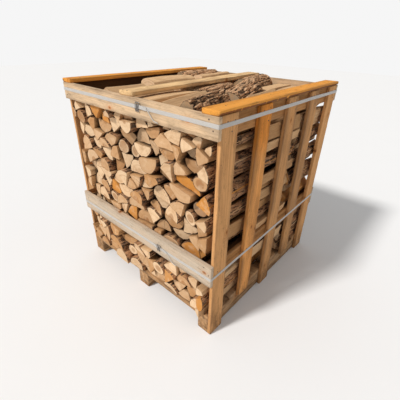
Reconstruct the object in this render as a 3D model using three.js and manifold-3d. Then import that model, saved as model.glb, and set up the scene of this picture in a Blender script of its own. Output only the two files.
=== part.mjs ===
// Slatted timber crate of split firewood, strapped twice round.
// Millimetres, +Z up. X runs along the open front, Y from front to back.
// The origin is at the middle of the crate's footprint, on the floor.

import * as THREE from 'three';
import { mergeVertices } from 'three/addons/utils/BufferGeometryUtils.js';
import Module from 'manifold-3d';

const wasm = await Module();
wasm.setup();

// ---- driving dimensions -------------------------------------------------

const WIDTH = 1022;            // outside of the side slats
const DEPTH = 1056;            // outside of the front and back rails
const HEIGHT = 1100;           // floor to the top of the cap boards
const GAP = 0.3;               // clearance kept between touching pieces
const ARRIS = 1.2;             // broken edge on sawn boards

const SKID_HEIGHT = 18;
const STRINGER_TOP = 90;
const STRINGER_WIDTH = 64;
const MIDDLE_STRINGER_WIDTH = 80;
const DECK_TOP = 112;
const DECK_BOARDS = 6;
const DECK_BOARD_WIDTH = 120;

const SLAT_THICKNESS = 18;
const SLAT_WIDTH = 90;
const SLATS_PER_SIDE = 5;
const SHORT_SLAT_FOOT = 88;    // the second and fourth slats stop above the skid

const BATTEN_THICKNESS = 40;
const RAIL_THICKNESS = 18;
const CAP_THICKNESS = 18;
const CAP_WIDTH = 75;
const TOP_RAIL = { low: 1000, high: HEIGHT - CAP_THICKNESS };
const MIDDLE_RAIL = { low: 335, high: 450 };
const MIDDLE_BATTEN = { low: 350, high: 430 };

const CENTRE_BOARD = { width: 85, length: 1048, shift: -8, turn: 2.7 };

const STRAP = { width: 16, thickness: 1.2, corner: 1.6 };
const STRAPS = [
  { name: 'strap-top', height: 1050, rise: 0, buckleX: 101 },
  { name: 'strap-lower', height: 392, rise: 20, buckleX: 181 },
];
const BUCKLE = { width: 30, height: 40, wire: 3.5 };

const ROW = { length: 340, gap: 12, top: 998, proudAbove: 14, proudBelow: 33 };

const SPLIT_LENGTH = 326;

// Loose splits on top of each row, from left to right. A split is
// [section, width, height, gap to its left].
const LOOSE_SPLITS = {
  front: [
    ['ridge', 150, 82, 176], ['ridge', 128, 78, 6], ['face', 118, 74, 8],
    ['ridge', 112, 80, 6], ['face', 92, 66, 8], ['round', 82, 80, 6],
  ],
  middle: [
    ['face', 132, 84, 186], ['bark', 118, 76, 10], ['face', 120, 70, 8],
    ['bark', 156, 92, 6], ['bark', 112, 84, 8],
  ],
  back: [
    ['bark', 134, 86, 22], ['face', 116, 76, 10], ['face', 150, 70, 10],
    ['bark', 150, 92, 12], ['face', 100, 60, 8], ['bark', 132, 88, 10],
  ],
};

// ---- finishes -----------------------------------------------------------

const wood = (color, roughness = 0.8) => () =>
  new THREE.MeshStandardMaterial({ color, roughness, metalness: 0 });
const FINISH = {
  slat: wood(0xb98d5c),
  rail: wood(0xd8bd93),
  weathered: wood(0xcfc3ab),
  cap: wood(0xe3a651, 0.7),
  base: wood(0x9c7146),
  split: wood(0xd9b483),
  bark: wood(0x6b5142, 0.9),
  strap: () => new THREE.MeshStandardMaterial({ color: 0xd9d6d2, roughness: 0.55, metalness: 0 }),
  steel: () => new THREE.MeshStandardMaterial({ color: 0x6d6f72, roughness: 0.4, metalness: 1 }),
};

// ---- helpers ------------------------------------------------------------

const crate = new THREE.Group();

function add(name, geometry, finish, x = 0, y = 0, z = 0) {
  const mesh = new THREE.Mesh(geometry, FINISH[finish]());
  mesh.name = name;
  mesh.position.set(x, y, z);
  crate.add(mesh);
  return mesh;
}

// A sawn board with broken edges, filling the box between two corners.
function board(name, low, high, finish) {
  const [sx, sy, sz] = low.map((value, axis) => high[axis] - value);
  const [cx, cy, cz] = low.map((value, axis) => (high[axis] + value) / 2);
  return add(name, boardGeometry(sx, sy, sz), finish, cx, cy, cz);
}

function boardGeometry(sx, sy, sz) {
  const halfX = sx / 2 - ARRIS;
  const halfY = sy / 2 - ARRIS;
  const outline = polygon([[-halfX, -halfY], [halfX, -halfY], [halfX, halfY], [-halfX, halfY]]);
  const geometry = new THREE.ExtrudeGeometry(outline, {
    depth: sz - 2 * ARRIS,
    bevelSize: ARRIS,
    bevelThickness: ARRIS,
    bevelSegments: 1,
    curveSegments: 1,
  });
  return geometry.translate(0, 0, ARRIS - sz / 2);
}

function polygon(points) {
  return new THREE.Shape(points.map(([x, y]) => new THREE.Vector2(x, y)));
}

// An outline in X and Z, carried along Y from y0 to y1.
function alongY(shape, y0, y1, curveSegments = 12) {
  const geometry = new THREE.ExtrudeGeometry(shape, { depth: y1 - y0, bevelEnabled: false, curveSegments });
  return geometry.rotateX(Math.PI / 2).translate(0, y1, 0);
}

// An outline in Y and Z, carried along X over the given width.
function alongX(shape, width) {
  const geometry = new THREE.ExtrudeGeometry(shape, { depth: width, bevelEnabled: false });
  const turn = new THREE.Matrix4().set(0, 0, 1, -width / 2, 1, 0, 0, 0, 0, 1, 0, 0, 0, 0, 0, 1);
  return geometry.applyMatrix4(turn);
}

function toSolid(geometry) {
  const bare = new THREE.BufferGeometry();
  bare.setAttribute('position', geometry.getAttribute('position'));
  if (geometry.index) bare.setIndex(geometry.index);
  const merged = mergeVertices(bare, 1e-3);
  return new wasm.Manifold(new wasm.Mesh({
    numProp: 3,
    vertProperties: new Float32Array(merged.getAttribute('position').array),
    triVerts: new Uint32Array(merged.index.array),
  }));
}

function toGeometry(solid) {
  const mesh = solid.getMesh();
  const geometry = new THREE.BufferGeometry();
  geometry.setAttribute('position', new THREE.BufferAttribute(mesh.vertProperties, 3));
  geometry.setIndex(new THREE.BufferAttribute(mesh.triVerts, 1));
  geometry.computeVertexNormals();
  return geometry;
}

// ---- base: skids, stringers and deck ------------------------------------

const slatInside = WIDTH / 2 - SLAT_THICKNESS;
const insideX = slatInside - GAP;
const railInside = DEPTH / 2 - RAIL_THICKNESS;
const sideEnd = railInside - GAP;

const bearers = [
  { side: 'left', from: -insideX, to: -insideX + STRINGER_WIDTH },
  { side: 'middle', from: -MIDDLE_STRINGER_WIDTH / 2, to: MIDDLE_STRINGER_WIDTH / 2 },
  { side: 'right', from: insideX - STRINGER_WIDTH, to: insideX },
];
for (const { side, from, to } of bearers) {
  board(`skid-${side}`, [from, -sideEnd, 0], [to, sideEnd, SKID_HEIGHT], 'base');
  board(`stringer-${side}`, [from, -sideEnd, SKID_HEIGHT + GAP], [to, sideEnd, STRINGER_TOP], 'base');
}

const deckPitch = (2 * sideEnd - DECK_BOARD_WIDTH) / (DECK_BOARDS - 1);
for (let i = 0; i < DECK_BOARDS; i++) {
  const front = -sideEnd + i * deckPitch;
  const low = [-insideX, front, STRINGER_TOP + GAP];
  board(`deck-board-${i + 1}`, low, [insideX, front + DECK_BOARD_WIDTH, DECK_TOP], 'base');
}

// ---- side panels: slats nailed over two battens, capped by a board ------

const slatPitch = (2 * sideEnd - SLAT_WIDTH) / (SLATS_PER_SIDE - 1);
for (const [side, sign] of [['left', -1], ['right', 1]]) {
  const across = (near, far) => [Math.min(sign * near, sign * far), Math.max(sign * near, sign * far)];

  const [slatLow, slatHigh] = across(slatInside, WIDTH / 2);
  for (let i = 0; i < SLATS_PER_SIDE; i++) {
    const front = -sideEnd + i * slatPitch;
    const foot = i % 2 === 1 ? SHORT_SLAT_FOOT : 0;
    const high = [slatHigh, front + SLAT_WIDTH, TOP_RAIL.high - GAP];
    board(`slat-${side}-${i + 1}`, [slatLow, front, foot], high, 'slat');
  }

  const [battenLow, battenHigh] = across(insideX - BATTEN_THICKNESS, insideX);
  for (const [level, span] of [['top', TOP_RAIL], ['middle', MIDDLE_BATTEN]]) {
    const high = [battenHigh, sideEnd, span.high - GAP];
    board(`batten-${side}-${level}`, [battenLow, -sideEnd, span.low], high, 'slat');
  }

  const [capLow, capHigh] = across(WIDTH / 2 - CAP_WIDTH, WIDTH / 2);
  board(`cap-${side}`, [capLow, -DEPTH / 2, TOP_RAIL.high], [capHigh, DEPTH / 2, HEIGHT], 'cap');
}

// ---- front and back rails, lapped over the slats' edges -----------------

for (const [end, sign] of [['front', -1], ['back', 1]]) {
  const [near, far] = [sign * railInside, sign * DEPTH / 2].sort((a, b) => a - b);
  for (const [level, span] of [['top', TOP_RAIL], ['middle', MIDDLE_RAIL]]) {
    const finish = level === 'middle' ? 'weathered' : 'rail';
    board(`rail-${end}-${level}`, [-WIDTH / 2, near, span.low], [WIDTH / 2, far, span.high - GAP], finish);
  }
}

// ---- centre board, laid askew from rail to rail -------------------------

const centreBoard = add(
  'centre-board',
  boardGeometry(CENTRE_BOARD.width, CENTRE_BOARD.length, CAP_THICKNESS),
  'rail',
  CENTRE_BOARD.shift, 0, HEIGHT - CAP_THICKNESS / 2,
);
centreBoard.rotation.z = THREE.MathUtils.degToRad(CENTRE_BOARD.turn);

// ---- straps and wire buckles --------------------------------------------

function roundedOutline(halfX, halfY, radius, target = new THREE.Shape()) {
  target.absarc(halfX - radius, halfY - radius, radius, 0, Math.PI / 2);
  target.absarc(radius - halfX, halfY - radius, radius, Math.PI / 2, Math.PI);
  target.absarc(radius - halfX, radius - halfY, radius, Math.PI, 1.5 * Math.PI);
  target.absarc(halfX - radius, radius - halfY, radius, 1.5 * Math.PI, 2 * Math.PI);
  target.closePath();
  return target;
}

// A flat band right round the crate, climbing towards the back by its rise.
function strapGeometry(rise) {
  const inner = [WIDTH / 2 + GAP, DEPTH / 2 + GAP];
  const band = roundedOutline(inner[0] + STRAP.thickness, inner[1] + STRAP.thickness, STRAP.corner);
  band.holes.push(roundedOutline(...inner, STRAP.corner - STRAP.thickness, new THREE.Path()));
  const geometry = new THREE.ExtrudeGeometry(band, {
    depth: STRAP.width, bevelEnabled: false, curveSegments: 5,
  });
  const slope = rise / DEPTH;
  const shear = new THREE.Matrix4().set(1, 0, 0, 0, 0, 1, 0, 0, 0, slope, 1, -STRAP.width / 2, 0, 0, 0, 1);
  return geometry.applyMatrix4(shear);
}

// A wire frame with one middle bar, standing on the strap's outer face.
function buckleGeometry() {
  const outline = roundedOutline(BUCKLE.width / 2, BUCKLE.height / 2, BUCKLE.wire);
  const windowWidth = (BUCKLE.width - 3 * BUCKLE.wire) / 2;
  const windowHeight = BUCKLE.height - 2 * BUCKLE.wire;
  let frame = toSolid(alongY(outline, 0, BUCKLE.wire, 4));
  for (const sign of [-1, 1]) {
    const opening = new THREE.BoxGeometry(windowWidth, 4 * BUCKLE.wire, windowHeight);
    opening.translate(sign * (windowWidth + BUCKLE.wire) / 2, 0, 0);
    frame = frame.subtract(toSolid(opening));
  }
  return toGeometry(frame);
}

const strapFace = -(DEPTH / 2 + 2 * GAP + STRAP.thickness);
for (const { name, height, rise, buckleX } of STRAPS) {
  add(name, strapGeometry(rise), 'strap', 0, 0, height);
  const buckleZ = height - rise / 2;
  add(name.replace('strap', 'buckle'), buckleGeometry(), 'steel', buckleX, strapFace - BUCKLE.wire, buckleZ);
}

// ---- firewood: three stacked rows, each one log long --------------------

const stackFloor = DECK_TOP + GAP;
const stackSide = insideX - GAP;
const battenSide = stackSide - BATTEN_THICKNESS;

// The stack's outline across the crate, clear of the two middle battens.
function stackOutline() {
  const lower = MIDDLE_BATTEN.low - GAP;
  const upper = MIDDLE_BATTEN.high + GAP;
  const right = [
    [stackSide, stackFloor], [stackSide, lower], [battenSide, lower],
    [battenSide, upper], [stackSide, upper], [stackSide, ROW.top],
  ];
  const left = right.map(([x, z]) => [-x, z]).reverse();
  return polygon([...right, ...left]);
}

// The row's outline from front to back: log ends stand proud between the rails,
// and further out below the middle rail.
function rowOutline(near, outward) {
  const clear = railInside - GAP;
  const above = railInside + ROW.proudAbove;
  const below = railInside + ROW.proudBelow;
  const low = MIDDLE_RAIL.low - GAP;
  const high = MIDDLE_RAIL.high + GAP;
  const face = [
    [below, stackFloor], [below, low], [clear, low], [clear, high], [above, high], [above, ROW.top],
  ];
  const points = [...face, [near, ROW.top], [near, stackFloor]].map(([y, z]) => [outward * y, z]);
  return polygon(outward > 0 ? points : points.reverse());
}

const innerEnd = ROW.length / 2 + ROW.gap;
const half = ROW.length / 2;
const middleOutline = polygon([[-half, stackFloor], [half, stackFloor], [half, ROW.top], [-half, ROW.top]]);
const rows = [
  { name: 'front', outline: rowOutline(innerEnd, -1) },
  { name: 'middle', outline: middleOutline },
  { name: 'back', outline: rowOutline(innerEnd, 1) },
];
const across = toSolid(alongY(stackOutline(), -DEPTH, DEPTH));
for (const { name, outline } of rows) {
  const along = toSolid(alongX(outline, WIDTH));
  add(`firewood-row-${name}`, toGeometry(across.intersect(along)), 'split');
}

// ---- loose splits lying on the rows -------------------------------------

const SECTIONS = {
  // bark side up, one flat split face below
  bark: (w, h) => {
    const shape = new THREE.Shape();
    shape.moveTo(-w / 2, 0);
    shape.lineTo(w / 2, 0);
    shape.lineTo(w / 2, h * 0.25);
    shape.bezierCurveTo(w / 2, h * 0.8, w / 4, h, 0, h);
    shape.bezierCurveTo(-w / 4, h, -w / 2, h * 0.8, -w / 2, h * 0.25);
    return shape;
  },
  // flat split face up, bark below
  face: (w, h) => {
    const shape = new THREE.Shape();
    shape.moveTo(w / 2, h * 0.92);
    shape.lineTo(-w / 2, h);
    shape.bezierCurveTo(-w / 2, h * 0.3, -w / 4, 0, 0, 0);
    shape.bezierCurveTo(w / 4, 0, w / 2, h * 0.3, w / 2, h * 0.92);
    return shape;
  },
  // wedge with its heart edge up and a bark arc below
  ridge: (w, h) => {
    const shape = new THREE.Shape();
    shape.moveTo(w * 0.12, h);
    shape.lineTo(-w / 2, h * 0.2);
    shape.quadraticCurveTo(-w / 4, 0, 0, 0);
    shape.quadraticCurveTo(w / 4, 0, w / 2, h * 0.2);
    return shape;
  },
  // unsplit round
  round: (w, h) => new THREE.Shape().absellipse(0, h / 2, w / 2, h / 2, 0, 2 * Math.PI),
};

const SPLIT_FINISH = { bark: 'bark', face: 'split', ridge: 'split', round: 'bark' };
const rowCentres = { front: -1, middle: 0, back: 1 };
for (const [row, splits] of Object.entries(LOOSE_SPLITS)) {
  const middle = rowCentres[row] * (railInside + innerEnd) / 2;
  let left = -battenSide;
  splits.forEach(([section, width, height, space], index) => {
    const x = left + space + width / 2;
    left += space + width;
    const shape = SECTIONS[section](width, height);
    const geometry = alongY(shape, -SPLIT_LENGTH / 2, SPLIT_LENGTH / 2, 5);
    add(`split-${row}-${index + 1}`, geometry, SPLIT_FINISH[section], x, middle, ROW.top + GAP);
  });
}

export default crate;
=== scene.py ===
"""Looks for a strapped timber crate of split firewood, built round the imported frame.

Every piece is a surface worked out with numpy and put at its place in metres.
"""

import math
from itertools import product

import bpy
import numpy as np
from bpy.props import FloatProperty, FloatVectorProperty, IntProperty, PointerProperty
from bpy.types import Operator, Panel, PropertyGroup
from mathutils import Matrix, Vector


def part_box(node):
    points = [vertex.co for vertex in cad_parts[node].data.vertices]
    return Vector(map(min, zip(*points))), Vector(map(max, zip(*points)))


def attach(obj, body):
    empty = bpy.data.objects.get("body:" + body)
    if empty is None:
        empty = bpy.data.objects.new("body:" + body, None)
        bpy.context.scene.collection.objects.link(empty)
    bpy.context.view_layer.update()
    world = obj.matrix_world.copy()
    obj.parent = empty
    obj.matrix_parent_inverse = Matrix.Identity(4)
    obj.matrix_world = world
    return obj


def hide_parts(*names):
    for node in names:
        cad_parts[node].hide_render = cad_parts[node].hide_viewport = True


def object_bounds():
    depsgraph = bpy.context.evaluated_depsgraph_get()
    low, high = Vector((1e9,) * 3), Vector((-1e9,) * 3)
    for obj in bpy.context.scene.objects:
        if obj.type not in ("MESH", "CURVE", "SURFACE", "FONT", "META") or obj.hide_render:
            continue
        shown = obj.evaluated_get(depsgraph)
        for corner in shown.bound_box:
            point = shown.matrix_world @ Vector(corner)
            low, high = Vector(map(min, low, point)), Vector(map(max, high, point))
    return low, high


bl_info = {
    "name": "Firewood crate",
    "version": (1, 0, 0),
    "blender": (4, 5, 0),
    "location": "View3D > Sidebar > Crate",
    "description": "Builds the timber, straps and split logs of a firewood crate",
    "category": "Object",
}

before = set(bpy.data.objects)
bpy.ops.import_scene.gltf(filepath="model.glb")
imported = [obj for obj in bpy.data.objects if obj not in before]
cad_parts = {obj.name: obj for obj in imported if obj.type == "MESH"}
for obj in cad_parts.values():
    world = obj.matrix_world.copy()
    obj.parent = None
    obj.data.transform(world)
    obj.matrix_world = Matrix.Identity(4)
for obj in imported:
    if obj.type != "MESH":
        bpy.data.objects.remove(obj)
CAD_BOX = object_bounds()

BODY = "root"
# Metres of grain that logs and boards take their own stretch from, and the step between them.
FIGURE_SPAN, GOLDEN = 30.0, 0.618034
TINY = 1e-9
STRAP_WIDTH, STRAP_THICKNESS = 0.016, 0.0012


def node_box(name):
    """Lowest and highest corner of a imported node, as two arrays."""
    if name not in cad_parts:
        raise RuntimeError(f"the packed frame has no node {name}")
    low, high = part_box(name)
    return np.array(low), np.array(high)


def figure_start(number):
    """Where along the grain a log or board of this number starts, spread by the golden ratio."""
    return FIGURE_SPAN * np.mod(GOLDEN * number, 1.0)


def nodes_starting(prefix):
    """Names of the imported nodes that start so, in order."""
    names = sorted(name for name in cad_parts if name.startswith(prefix))
    if not names:
        raise RuntimeError(f"the packed frame has no node that starts with {prefix}")
    return names


# ---- settings ------------------------------------------------------------


def colour(name, description, value):
    """A colour that a user may change."""
    return FloatVectorProperty(
        name=name, description=description, default=value, size=3, min=0, max=1, subtype="COLOR"
    )


def distance(name, description, value):
    """A length in metres that a user may change."""
    return FloatProperty(
        name=name, description=description, default=value, min=0, unit="LENGTH", subtype="DISTANCE"
    )


def angle(name, description, degrees):
    """An angle that a user may change, given here in degrees."""
    value = math.radians(degrees)
    return FloatProperty(name=name, description=description, default=value, unit="ROTATION", subtype="ANGLE")


class FirewoodSettings(PropertyGroup):
    """Sizes and colours of the split logs"""

    seed: IntProperty(name="Seed", description="Which pile of logs is stacked", default=11)
    small: distance("Smallest radius", "Radius of the thinnest tree that a split comes from", 0.046)
    large: distance("Largest radius", "Radius of the thickest tree that a split comes from", 0.128)
    scatter: distance("End scatter", "How far log ends stand in front of or behind each other", 0.045)
    cream: colour("Cream", "Palest sawn end", (0.85, 0.61, 0.38))
    tan: colour("Tan", "Usual sawn end and split face", (0.54, 0.29, 0.125))
    orange: colour("Orange", "Fresh resinous or stained wood", (0.66, 0.27, 0.05))
    heart: colour("Heart", "Darker wood near the heart", (0.34, 0.145, 0.05))
    bark_dark: colour("Bark furrow", "Bottom of the bark's furrows", (0.040, 0.019, 0.010))
    bark_light: colour("Bark ridge", "Top of the bark's ridges", (0.86, 0.52, 0.29))


class TimberSettings(PropertyGroup):
    """Edges, nails and colours of the crate's boards"""

    arris: distance("Arris", "Radius of a board's broken edge", 0.0016)
    wear: distance("Wear", "How far knocks have rounded the edges further", 0.0035)
    nail: distance("Nail head", "Radius of a nail head", 0.003)
    slat: colour("Slat", "Sawn side slats", (0.59, 0.30, 0.112))
    warm: colour("Warm slat", "The one resinous slat on each side", (0.74, 0.36, 0.115))
    batten: colour("Batten", "Battens inside the slats", (0.46, 0.225, 0.078))
    rail: colour("Rail", "Pale sawn rails", (0.68, 0.465, 0.265))
    weathered: colour("Weathered", "Grey middle rails", (0.58, 0.42, 0.27))
    cap: colour("Cap", "Fresh orange cap boards", (0.74, 0.315, 0.048))
    fresh: colour("Centre", "Fresh pale centre board", (0.84, 0.54, 0.265))
    base: colour("Base", "Skids, stringers and deck", (0.49, 0.265, 0.105))
    steel: colour("Nail steel", "Dark steel of the nail heads", (0.13, 0.11, 0.10))


class StrapSettings(PropertyGroup):
    """Strapping, buckle wire and loose tails"""

    band: colour("Band", "Polyester cord strapping", (0.52, 0.485, 0.445))
    steel: colour("Buckle steel", "Drawn wire of the buckles", (0.30, 0.29, 0.28))
    wire: distance("Wire", "Thickness of the buckle's steel wire", 0.0034)
    tail: distance("Tail", "Length of the strap end left past each buckle", 0.075)


class StageSettings(PropertyGroup):
    """Camera, lights and floor"""

    azimuth: angle("Azimuth", "Camera's bearing round the crate, from straight in front", 40.86)
    elevation: angle("Elevation", "Camera's height angle", 29.595)
    roll: angle("Roll", "Camera's turn about its own axis", 1.438)
    reach: distance("Reach", "Camera's distance from the crate's middle", 1.8095)
    lens: FloatProperty(name="Lens", description="Focal length in millimetres", default=26.157, min=10)
    floor: colour("Floor", "Pale floor and backdrop", (0.86, 0.86, 0.86))
    key: FloatProperty(name="Key light", description="Strength of the sun-like key", default=2.8, min=0)
    fill: FloatProperty(name="Fill light", description="Strength of the pale surround", default=0.47, min=0)


SETTINGS = {
    "firewood_settings": FirewoodSettings,
    "timber_settings": TimberSettings,
    "strap_settings": StrapSettings,
    "stage_settings": StageSettings,
}


# ---- arrays and noise --------------------------------------------------------

# Large numbers that scatter a place on the lattice into 31 random bits.
PLACE_FACTORS = (73856093, 19349663, 83492791)
SEED_FACTOR, SEED_START = 2654435, 97
SHIFTS_AND_FACTORS = ((13, 1274126177), (11, 668265263))
ALL_BITS, HALF_BITS = 0x7FFFFFFF, 0x3FFFFFFF


def unit(vectors):
    """Vectors brought to length one."""
    return vectors / np.maximum(np.linalg.norm(vectors, axis=-1, keepdims=True), TINY)


def turned(points, turn):
    """Flat points turned about the origin by so many radians."""
    c, s = math.cos(turn), math.sin(turn)
    return points @ np.array([[c, s], [-s, c]])


def lattice_noise(points, seed=0):
    """Smooth noise from -1 to 1: hashed values on a unit lattice, blended by 3t^2 - 2t^3."""
    cell = np.floor(points).astype(np.int64)
    part = points - cell
    blend = part * part * (3 - 2 * part)
    total = np.zeros(points.shape[:-1])
    for corner in product((0, 1), repeat=3):
        at = cell + np.array(corner)
        mixed = np.bitwise_xor.reduce(at * np.array(PLACE_FACTORS), axis=-1)
        mixed = mixed ^ (seed * SEED_FACTOR + SEED_START)
        for shift, factor in SHIFTS_AND_FACTORS:
            mixed = ((mixed ^ (mixed >> shift)) * factor) & ALL_BITS
        share = np.prod(np.where(corner, blend, 1 - blend), axis=-1)
        total += share * (mixed / HALF_BITS - 1)
    return total


def stretched_noise(points, across, along, seed=0):
    """Noise in tree coordinates: cells are so wide across the grain and so long along it."""
    return lattice_noise(points / np.array([across, across, along]), seed)


def ramp(values, low, high):
    """Smooth step 3t^2 - 2t^3 from 0 at low to 1 at high."""
    t = np.clip((values - low) / (high - low), 0, 1)
    return t * t * (3 - 2 * t)


def bark_plates(tree):
    """Height of the bark from 0 in a furrow to 1 on a plate. Furrows run where either of two
    warped noises crosses zero, and the smaller of the two ramps is kept."""
    warp = 0.009 * np.stack([stretched_noise(tree, 0.021, 0.05, k) for k in (21, 22, 23)], -1)
    warped = tree + warp * (1, 1, 3.0)
    wide = np.abs(stretched_noise(warped, 0.012, 0.062, 24))
    narrow = np.abs(stretched_noise(warped, 0.009, 0.028, 25))
    plates = np.minimum(ramp(wide, 0.0, 0.26), 0.15 + 0.85 * ramp(narrow, 0.0, 0.22))
    flakes = 1 - np.abs(stretched_noise(warped, 0.005, 0.013, 26)) * 2
    return np.clip(plates * (0.80 + 0.20 * flakes) + 0.1 * stretched_noise(tree, 0.0035, 0.006, 27), 0, 1)


# ---- putting arrays into meshes ---------------------------------------------


def make_piece(name, surface, materials, replaced):
    """Makes one piece from a surface: points, quads and triangles with a material number each,
    and named attributes on the points."""
    mesh = bpy.data.meshes.new(name)
    faces = surface["quads"].tolist() + surface["triangles"].tolist()
    mesh.from_pydata(surface["points"].reshape(-1, 3), [], faces)
    mesh.polygons.foreach_set("material_index", np.concatenate(surface["finish"]).astype(np.int32))
    mesh.polygons.foreach_set("use_smooth", np.concatenate(surface["smooth"]))
    for label, values in surface["attributes"].items():
        attribute = mesh.attributes.new(label, "FLOAT_VECTOR", "POINT")
        attribute.data.foreach_set("vector", values.astype(np.float32).ravel())
    for material in materials:
        mesh.materials.append(material)
    mesh.update()
    piece = bpy.data.objects.new(name, mesh)
    bpy.context.scene.collection.objects.link(piece)
    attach(piece, BODY)
    if replaced:
        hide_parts(*replaced)


def join_surfaces(surfaces):
    """Joins surfaces into one, counting each one's faces on from the points before it."""
    start = 0
    quads, triangles = [], []
    for surface in surfaces:
        quads.append(surface["quads"] + start)
        triangles.append(surface["triangles"] + start)
        start += len(surface["points"])
    joined = {
        "points": np.concatenate([s["points"] for s in surfaces]),
        "quads": np.concatenate(quads),
        "triangles": np.concatenate(triangles),
        "attributes": {
            label: np.concatenate([s["attributes"][label] for s in surfaces])
            for label in surfaces[0]["attributes"]
        },
    }
    for key in ("finish", "smooth"):
        joined[key] = [np.concatenate([s[key][part] for s in surfaces]) for part in (0, 1)]
    return joined


def tube_faces(stations, around):
    """Quads of a closed tube: station m, place n joins its neighbours at m + 1 and n + 1."""
    m, n = np.meshgrid(np.arange(stations - 1), np.arange(around), indexing="ij")
    after = (n + 1) % around
    corners = [m * around + n, m * around + after, (m + 1) * around + after, (m + 1) * around + n]
    return np.stack(corners, -1).reshape(-1, 4)


def fan_faces(ring_start, around, centre, flip):
    """Triangles from a ring to its centre point."""
    n = np.arange(around)
    fan = np.stack([ring_start + n, ring_start + (n + 1) % around, np.full(around, centre)], -1)
    return fan[:, ::-1] if flip else fan


def closing_fans(stations, around):
    """Triangles that close both ends of a tube, whose two centre points come after its rings."""
    first = fan_faces(0, around, stations * around, True)
    last = fan_faces((stations - 1) * around, around, stations * around + 1, False)
    return np.concatenate([first, last])


def plain_surface(points, quads, triangles, tree=None, look=None, flat_ends=False):
    """Surface with one finish, smooth all over or with flat ends, which reads its own place if no
    other is given."""
    tree = points if tree is None else tree
    look = np.full_like(points, 0.5) if look is None else look
    return {
        "points": points,
        "quads": quads,
        "triangles": triangles,
        "finish": [np.zeros(len(quads)), np.zeros(len(triangles))],
        "smooth": [np.ones(len(quads), bool), np.full(len(triangles), not flat_ends)],
        "attributes": {"tree": tree, "look": look},
    }


# ---- node graphs --------------------------------------------------------------

# How much dry wood shines, where one half is usual.
DRY = 0.1


class Graph:
    """A material's node tree, with one short call for each kind of node."""

    def __init__(self, name):
        self.material = bpy.data.materials.new(name)
        self.material.use_nodes = True
        self.tree = self.material.node_tree
        self.shader = self.tree.nodes["Principled BSDF"]

    def put(self, socket, value):
        """Links a socket to an input, or gives the input a plain value or colour."""
        if isinstance(value, bpy.types.NodeSocket):
            self.tree.links.new(value, socket)
        elif hasattr(value, "__len__"):
            value = tuple(value)
            socket.default_value = value + (1,) if len(socket.default_value) > len(value) else value
        else:
            socket.default_value = value

    def node(self, kind, inputs=(), **options):
        """Adds a node of this kind, with its options and inputs."""
        made = self.tree.nodes.new(kind)
        for key, value in options.items():
            setattr(made, key, value)
        for key, value in dict(inputs).items():
            self.put(made.inputs[key], value)
        return made

    def place(self):
        """Place on the object, in metres."""
        return self.node("ShaderNodeTexCoord").outputs["Object"]

    def attribute(self, name):
        return self.node("ShaderNodeAttribute", attribute_name=name).outputs["Vector"]

    def split(self, vector):
        return self.node("ShaderNodeSeparateXYZ", {"Vector": vector}).outputs

    def join(self, x, y, z):
        return self.node("ShaderNodeCombineXYZ", {"X": x, "Y": y, "Z": z}).outputs[0]

    def math(self, operation, a, b=0.0, c=0.0):
        return self.node("ShaderNodeMath", {0: a, 1: b, 2: c}, operation=operation).outputs[0]

    def plus(self, a, b):
        return self.math("ADD", a, b)

    def minus(self, a, b):
        return self.math("SUBTRACT", a, b)

    def times(self, a, b):
        return self.math("MULTIPLY", a, b)

    def vector(self, operation, a, b=(0, 0, 0)):
        return self.node("ShaderNodeVectorMath", {0: a, 1: b}, operation=operation)

    def scaled(self, vector, factors):
        return self.vector("MULTIPLY", vector, factors).outputs["Vector"]

    def noise(self, vector, scale=1.0, detail=2.0, roughness=0.5):
        inputs = {"Vector": vector, "Scale": scale, "Detail": detail, "Roughness": roughness}
        return self.node("ShaderNodeTexNoise", inputs).outputs["Fac"]

    def stretched_noise(self, vector, factors, detail=2.0, roughness=0.5):
        """Noise with so many cells to a metre on each axis."""
        return self.noise(self.scaled(vector, factors), 1.0, detail, roughness)

    def band(self, value, low, high, to_low=0.0, to_high=1.0):
        """Smooth step from to_low to to_high, as the value goes from low to high."""
        inputs = {0: value, 1: low, 2: high, 3: to_low, 4: to_high}
        return self.node("ShaderNodeMapRange", inputs, interpolation_type="SMOOTHSTEP").outputs[0]

    def mix(self, factor, a, b, blend="MIX"):
        made = self.node("ShaderNodeMix", data_type="RGBA", blend_type=blend)
        self.put(made.inputs["Factor"], factor)
        self.put(made.inputs[6], a)
        self.put(made.inputs[7], b)
        return made.outputs[2]

    def stain(self, tone, colour, value, low, high, most=1.0, least=0.0):
        """Lays a colour over a tone: the least of it where the value is low, the most where high."""
        return self.mix(self.band(value, low, high, least, most), tone, colour)

    def bump(self, height, metres, strength=1.0):
        inputs = {"Height": height, "Distance": metres, "Strength": strength}
        return self.node("ShaderNodeBump", inputs).outputs[0]

    def finish(self, base, roughness, normal=None, **sockets):
        """Puts the colour, roughness, relief and any other value on the shader."""
        self.put(self.shader.inputs["Base Color"], base)
        self.put(self.shader.inputs["Roughness"], roughness)
        if normal is not None:
            self.put(self.shader.inputs["Normal"], normal)
        for key, value in sockets.items():
            self.put(self.shader.inputs[key.replace("_", " ")], value)
        return self.material

    def dry_finish(self, base, roughness, relief, metres, strength=0.8):
        """Finish of dry wood or bark, which hardly shines."""
        return self.finish(base, roughness, self.bump(relief, metres, strength), Specular_IOR_Level=DRY)


# ---- looks ---------------------------------------------------------------------

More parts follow.
